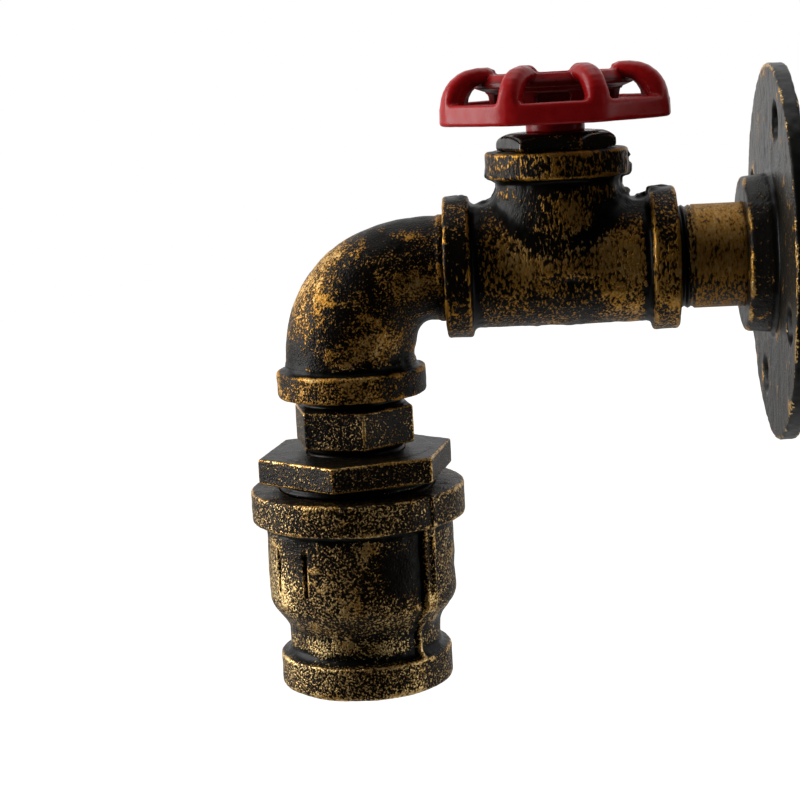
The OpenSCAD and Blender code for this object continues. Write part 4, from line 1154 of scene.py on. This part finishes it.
class CupBuilder(bpy.types.Operator):
    """Reducing coupling that is the lamp cup, with its two parting ribs"""

    bl_idname = "pipelight.cup"
    bl_label = "Lamp Cup"

    def execute(self, context):
        edge, fillet, foot_edge = size_mm("edge_round"), size_mm("band_fillet"), 1.5
        rim_r, rim_h = (CUP_HIGH[0] - CUP_LOW[0]) / 2, 8.5
        body, neck, foot, neck_fillet = 24.95, 20.2, 23.0, 2.2
        narrow_from, narrow_to, foot_from = 29.0, 38.4, CUP_DEPTH - 9.0
        seat_r, well, seat, mouth = 20.8, 21.0, 13, 16.6
        sweep = [(body + (neck - body) * t * t * (3 - 2 * t), narrow_from + (narrow_to - narrow_from) * t)
                 for t in np.linspace(0, 1, 13)]
        outer = Outline([(AXIS, 0)] + mouth_band(rim_r, rim_h, body, edge, fillet) + sweep
                        + arc(neck + neck_fillet, foot_from - neck_fillet, neck_fillet, 180, 100)
                        + arc(foot - edge, foot_from + edge, edge, -80, 0)
                        + arc(foot - foot_edge, CUP_DEPTH - foot_edge, foot_edge, 0, 90)
                        + [(AXIS, CUP_DEPTH)])
        inner = Outline([(AXIS, -2), (seat_r, -2), (seat_r, seat), (well, seat), (well, narrow_from - 0.6),
                         (mouth, narrow_to - 1.4), (mouth, CUP_DEPTH + 2), (AXIS, CUP_DEPTH + 2)])
        root = 15
        wide = Outline([(root, rim_h - 2), (body + 1.7, rim_h - 2), (body + 1.7, narrow_from - 0.5),
                        (body + 0.9, narrow_from + 2), (neck + 2.6, narrow_to - 4), (root, narrow_to - 4)])
        thin = Outline([(root, narrow_from)] + [(r + 1.0, h) for r, h in sweep] + [
            (neck + 1.0, foot_from - 2), (neck + 2.2, foot_from - 0.2), (neck + 2.2, foot_from + 1),
            (root, foot_from + 1)])
        seam = Outline([(root, 0.2), (rim_r + 0.05, 0.2), (rim_r + 0.5, 0.8), (rim_r + 0.5, rim_h - 0.6),
                        (rim_r - 2, rim_h + 1.4), (root, rim_h + 1.4)])
        turn = math.radians(-42.8)
        strokes = [(-31.5, 14.0, 25.5), (-56.0, 14.0, 25.5)]

        def shape(x, y, z):
            a, h = x - HEAD_X, CUP_TOP - z
            r = np.hypot(a, y)
            u = np.abs(a * math.cos(turn) + y * math.sin(turn))
            v = np.abs(a * math.sin(turn) - y * math.cos(turn))
            rib = rounded(wide(u, h), v - 2.0, 0.5)
            groove = rounded(v - 0.6, slab(h, rim_h + 2.5, narrow_from - 2.5), 0.3)
            rib = cut(rib, rounded(groove, body + 1.1 - u, 0.2), 0.4)
            line = np.minimum(rounded(thin(u, h), v - 0.75, 0.5), rounded(seam(u, h), v - 0.65, 0.4))
            d = joined(outer(r, h), np.minimum(rib, line), 0.9)
            for angle, top, low in strokes:
                s = math.radians(angle)
                across = np.abs(a * math.cos(s) + y * math.sin(s))
                front = a * math.sin(s) - y * math.cos(s)
                stroke = rounded(across - 0.55, slab(h, top, low), 0.4)
                d = cut(d, rounded(stroke, body - 0.75 - front, 0.2), 0.4)
            return cut(d, inner(r, h), 0.6)

        rubs = [(HEAD_X + a, y, CUP_TOP - h, r, amount) for a, y, h, r, amount in (
            (12.5, -21.5, 19, 6, -1.2), (-15, -20, 13, 6, -0.6), (-20, -15, 24, 9, 0.4),
            (7, -19, 42, 5, 0.45), (-10, -18, 42, 6, 0.35))]
        mesh = casting("cup_cast", shape, CUP_LOW, CUP_HIGH, size_mm("casting_step"), 71, rubs=rubs)
        piece("lamp_cup", mesh, "cup_bronze", "lamp_head", "bronzed_iron", "reducing_coupling")
        return {"FINISHED"}


class HolderBuilder(bpy.types.Operator):
    """Porcelain lampholder body and rolled screw shell, seen from below"""

    bl_idname = "pipelight.holder"
    bl_label = "Lampholder"

    def execute(self, context):
        low, high = HOLDER_LOW[2], HOLDER_HIGH[2]
        barrel, rim, well, back, neck = 15.9, HOLDER_HIGH[0] - HEAD_X, 13.9, 8.8, 16.7
        base, top = SHELL_LOW[2], SHELL_HIGH[2]
        seat, ledge = low + 20.3, low + 20
        profile = [(0, high), (neck - 0.2, high), (neck, high - 0.2), (neck, ledge), (rim - 0.3, ledge),
                   (rim, ledge - 0.3), (rim, ledge - 1.4)]
        profile += arc(barrel + 1.4, ledge - 3.4, 1.4, 90, 180, 4) + arc(barrel - 0.8, low + 0.8, 0.8, 0, -90)
        profile += arc(well + 0.5, low + 0.5, 0.5, -90, -180, 4) + [
            (well, top + 0.1), (back + 0.4, top + 0.1), (back, top + 0.5), (back, seat), (0, seat)]
        mesh = turned_mesh("holder_plain", profile[::-1], at(HEAD_X, 0, 0))
        piece("holder_porcelain", mesh, "white_glaze", "lamp_head", "porcelain", "holder_body")

        out_r, wall, run_out = 13.8, 0.45, 1.2
        skirt = dense([(out_r, base), (out_r, top - 0.6)], 0.3)
        inside = [(r - wall, h) for r, h in skirt]
        lip = [(out_r - 1.0, top), (back + 0.1, top), (back + 0.1, top - wall), (out_r - 1.2, top - wall)]
        profile = skirt + lip + inside[::-1]
        ramp = [max(0.0, min(1.0, (h - base) / run_out, (top - 0.8 - h) / run_out)) for _, h in skirt]
        thread = ramp + [0] * len(lip) + ramp[::-1]
        mesh = turned_mesh("shell_plain", profile[::-1], Matrix(), 128, thread=thread[::-1])
        mesh = threaded(mesh, size_mm("shell_pitch"), 0.9, "bright_brass", 1.0)
        mesh.transform(at(HEAD_X, 0, 0))
        piece("lamp_shell", mesh, None, "lamp_head", "brass", "screw_shell")
        return {"FINISHED"}


class EntryBuilder(bpy.types.Operator):
    """Cable entry at the rear: bush and clamp screws of the terminal block"""

    bl_idname = "pipelight.entry"
    bl_label = "Cable Entry"

    def execute(self, context):
        near, far = -BUSH_HIGH[0], -BUSH_LOW[0]
        lip, lip_w, way, sleeve = BUSH_HIGH[1], 1.2, 9.1, 10.7
        profile = arc(way + 0.6, near + 0.6, 0.6, 180, 270) + arc(lip - 0.4, near + 0.4, 0.4, 270, 360) + [
            (lip, near + lip_w), (sleeve, near + lip_w), (sleeve, far - 0.3), (sleeve - 0.3, far),
            (way + 0.2, far), (way, far - 0.2)]
        mesh = turned_mesh("bush_plain", profile, ALONG_ARM)
        piece("cable_bush", mesh, "natural_nylon", "wall_mount", "nylon", "entry_bush")

        low, high = box_mm("terminal_screws")
        radius, height, slot = 1.5, high[2] - low[2], 0.6
        spots = [(x, y, low[2] + height / 2) for x in (low[0] + radius, high[0] - radius)
                 for y in (low[1] + radius, 0, high[1] - radius)]
        mesh = through_tree(
            mesh_of("clamp_points", spots, []), "Clamp Screws", clamp_screws, Radius=radius * MM,
            Height=height * MM, Slot_Width=slot * MM, Slot_Depth=slot * MM, Material=finish("zinc_steel"))
        piece("clamp_screws", mesh, None, "wall_mount", "steel", "terminal_screws")
        return {"FINISHED"}


INNER_FINISHES = {
    "zinc_steel": ("wheel_washer", "wheel_nut", "switch_ring", "adaptor_plug", "lock_nut", "holder_screws"),
    "bright_brass": ("switch_contacts", "rotor_bridge", "holder_tube", "earth_tag", "centre_contact"),
    "white_glaze": ("holder_cap",),
    "dark_moulding": ("switch_case", "switch_cover", "switch_rotor"),
    "natural_nylon": ("terminal_block",),
    "matt_rubber": ("stem_seal", "arm_flex", "head_flex", "switched_wire"),
    "brown_core": ("live_wire", "holder_leads"),
    "blue_core": ("neutral_wire",),
    "green_core": ("earth_wire",),
}


class InnerFinisher(bpy.types.Operator):
    """Finishes of the inner parts whose solids are kept"""

    bl_idname = "pipelight.inner"
    bl_label = "Inner Parts"

    def execute(self, context):
        for name, nodes in INNER_FINISHES.items():
            for node in nodes:
                dress(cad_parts[node].data, name)
        return {"FINISHED"}


# Stage


CAMERA_AT = (-0.0702, -0.5213, 0.0548)
CAMERA_YAW, CAMERA_PITCH, CAMERA_ROLL = 3.48, 9.72, -3.00
SENSOR = 36.0


def softbox(name, place, target, width, height, power):
    lamp = bpy.data.lights.new(name, "AREA")
    lamp.shape, lamp.size, lamp.size_y, lamp.energy = "RECTANGLE", width, height, power
    obj = placed(name, lamp)
    obj.location = place
    obj.rotation_euler = (Vector(target) - Vector(place)).to_track_quat("-Z", "Y").to_euler()


def rays(n):
    """Sockets that tell the camera's own rays, and those that a mirror or glass sends on."""
    path = n.add("ShaderNodeLightPath").outputs
    return path["Is Camera Ray"], n.math("MAXIMUM", path["Is Glossy Ray"], path["Is Transmission Ray"])


class StageBuilder(bpy.types.Operator):
    """Floor, white surround, softboxes and camera"""

    bl_idname = "pipelight.stage"
    bl_label = "Stage"

    def execute(self, context):
        given = context.scene.pipe_light_stage
        self.camera(context, given)
        self.floor(given)
        self.surround(context, given)
        middle = (-0.07, 0, -0.03)
        softbox("left_softbox", (-0.75, 0.02, 0.15), middle, 0.4, 0.7, given.left_light)
        softbox("right_softbox", (0.55, -0.10, -0.10), middle, 0.4, 0.6, given.right_light)
        softbox("top_softbox", (-0.10, 0.15, 0.75), middle, 0.6, 0.5, given.top_light)
        context.scene.view_settings.view_transform = "Standard"
        return {"FINISHED"}

    def camera(self, context, given):
        yaw, pitch, roll = (math.radians(v) for v in (CAMERA_YAW, CAMERA_PITCH, CAMERA_ROLL))
        ahead = Vector((-math.sin(yaw) * math.cos(pitch), math.cos(yaw) * math.cos(pitch), -math.sin(pitch)))
        level = Vector((math.cos(yaw), math.sin(yaw), 0))
        upright = level.cross(ahead)
        right = level * math.cos(roll) + upright * math.sin(roll)
        up = upright * math.cos(roll) - level * math.sin(roll)
        data = bpy.data.cameras.new("camera")
        data.lens, data.sensor_width, data.clip_start = given.focal_length, SENSOR, 0.01
        obj = placed("camera", data)
        obj.matrix_world = Matrix.Translation(CAMERA_AT) @ Matrix((right, up, -ahead)).transposed().to_4x4()
        context.scene.camera = obj

    def floor(self, given):
        reach, near, low = 6000.0, -350.0, -given.floor_drop / MM
        corners = [(-reach, near, low), (reach, near, low), (reach, reach, low), (-reach, reach, low)]
        mesh = mesh_of("floor", corners, [(0, 1, 2, 3)])
        material, n, shader = new_material("floor_white")
        direct, mirrored = rays(n)
        seen = n.math("MAXIMUM", direct, n.times(mirrored, 0.15))
        n.put(shader, {
            "Base Color": (0.8, 0.8, 0.8, 1), "Roughness": 0.9, "Emission Color": (1, 1, 1, 1),
            "Emission Strength": n.times(seen, 0.80)})
        mesh.materials.append(material)
        obj = placed("floor", mesh)

    def surround(self, context, given):
        world = bpy.data.worlds.new("surround")
        world.use_nodes = True
        context.scene.world = world
        n = Nodes(world.node_tree)
        back = next(x for x in world.node_tree.nodes if x.type == "BACKGROUND")
        where = n.add("ShaderNodeTexCoord").outputs["Generated"]
        away = n.add("ShaderNodeSeparateXYZ", {0: where}).outputs[1]
        behind = n.spread(away, -0.5, 0.45, 0.02, 1.0)
        around = n.spread(away, -0.7, 0.7, 0.4 * given.sky, 1.6 * given.sky)
        direct, mirrored = rays(n)
        level = n.between(direct, n.between(mirrored, around, behind), 1.0)
        n.put(back, {"Color": (1, 1, 1, 1), "Strength": level})


class PipeLightPanel(bpy.types.Panel):
    """Sizes, colours and builders of the pipe wall light"""

    bl_idname = "VIEW3D_PT_pipe_light"
    bl_label = "Pipe Wall Light"
    bl_space_type = "VIEW_3D"
    bl_region_type = "UI"
    bl_category = "Pipe Light"

    def draw(self, context):
        for key in GROUPS:
            group = getattr(context.scene, key)
            column = self.layout.column(align=True)
            for prop in group.__annotations__:
                column.prop(group, prop)
        column = self.layout.column(align=True)
        for builder in BUILDERS:
            column.operator(builder.bl_idname)


GROUPS = {
    "pipe_light_sizes": PipeLightSizes,
    "pipe_light_colours": PipeLightColours,
    "pipe_light_stage": PipeLightStage,
}
BUILDERS = (StageBuilder, FlangeBuilder, NippleBuilder, TeeBuilder, BonnetBuilder, WheelBuilder, StemBuilder,
            ElbowBuilder, HexagonBuilder, CupBuilder, HolderBuilder, EntryBuilder, InnerFinisher)


def register():
    for cls in (*GROUPS.values(), *BUILDERS, PipeLightPanel):
        bpy.utils.register_class(cls)
    for key, cls in GROUPS.items():
        setattr(bpy.types.Scene, key, PointerProperty(type=cls))


def unregister():
    for key in GROUPS:
        delattr(bpy.types.Scene, key)
    for cls in (PipeLightPanel, *reversed(BUILDERS), *reversed(GROUPS.values())):
        bpy.utils.unregister_class(cls)


def main():
    register()
    for builder in BUILDERS:
        module, name = builder.bl_idname.split(".")
        getattr(getattr(bpy.ops, module), name)()


if __name__ == "__main__":
    main()
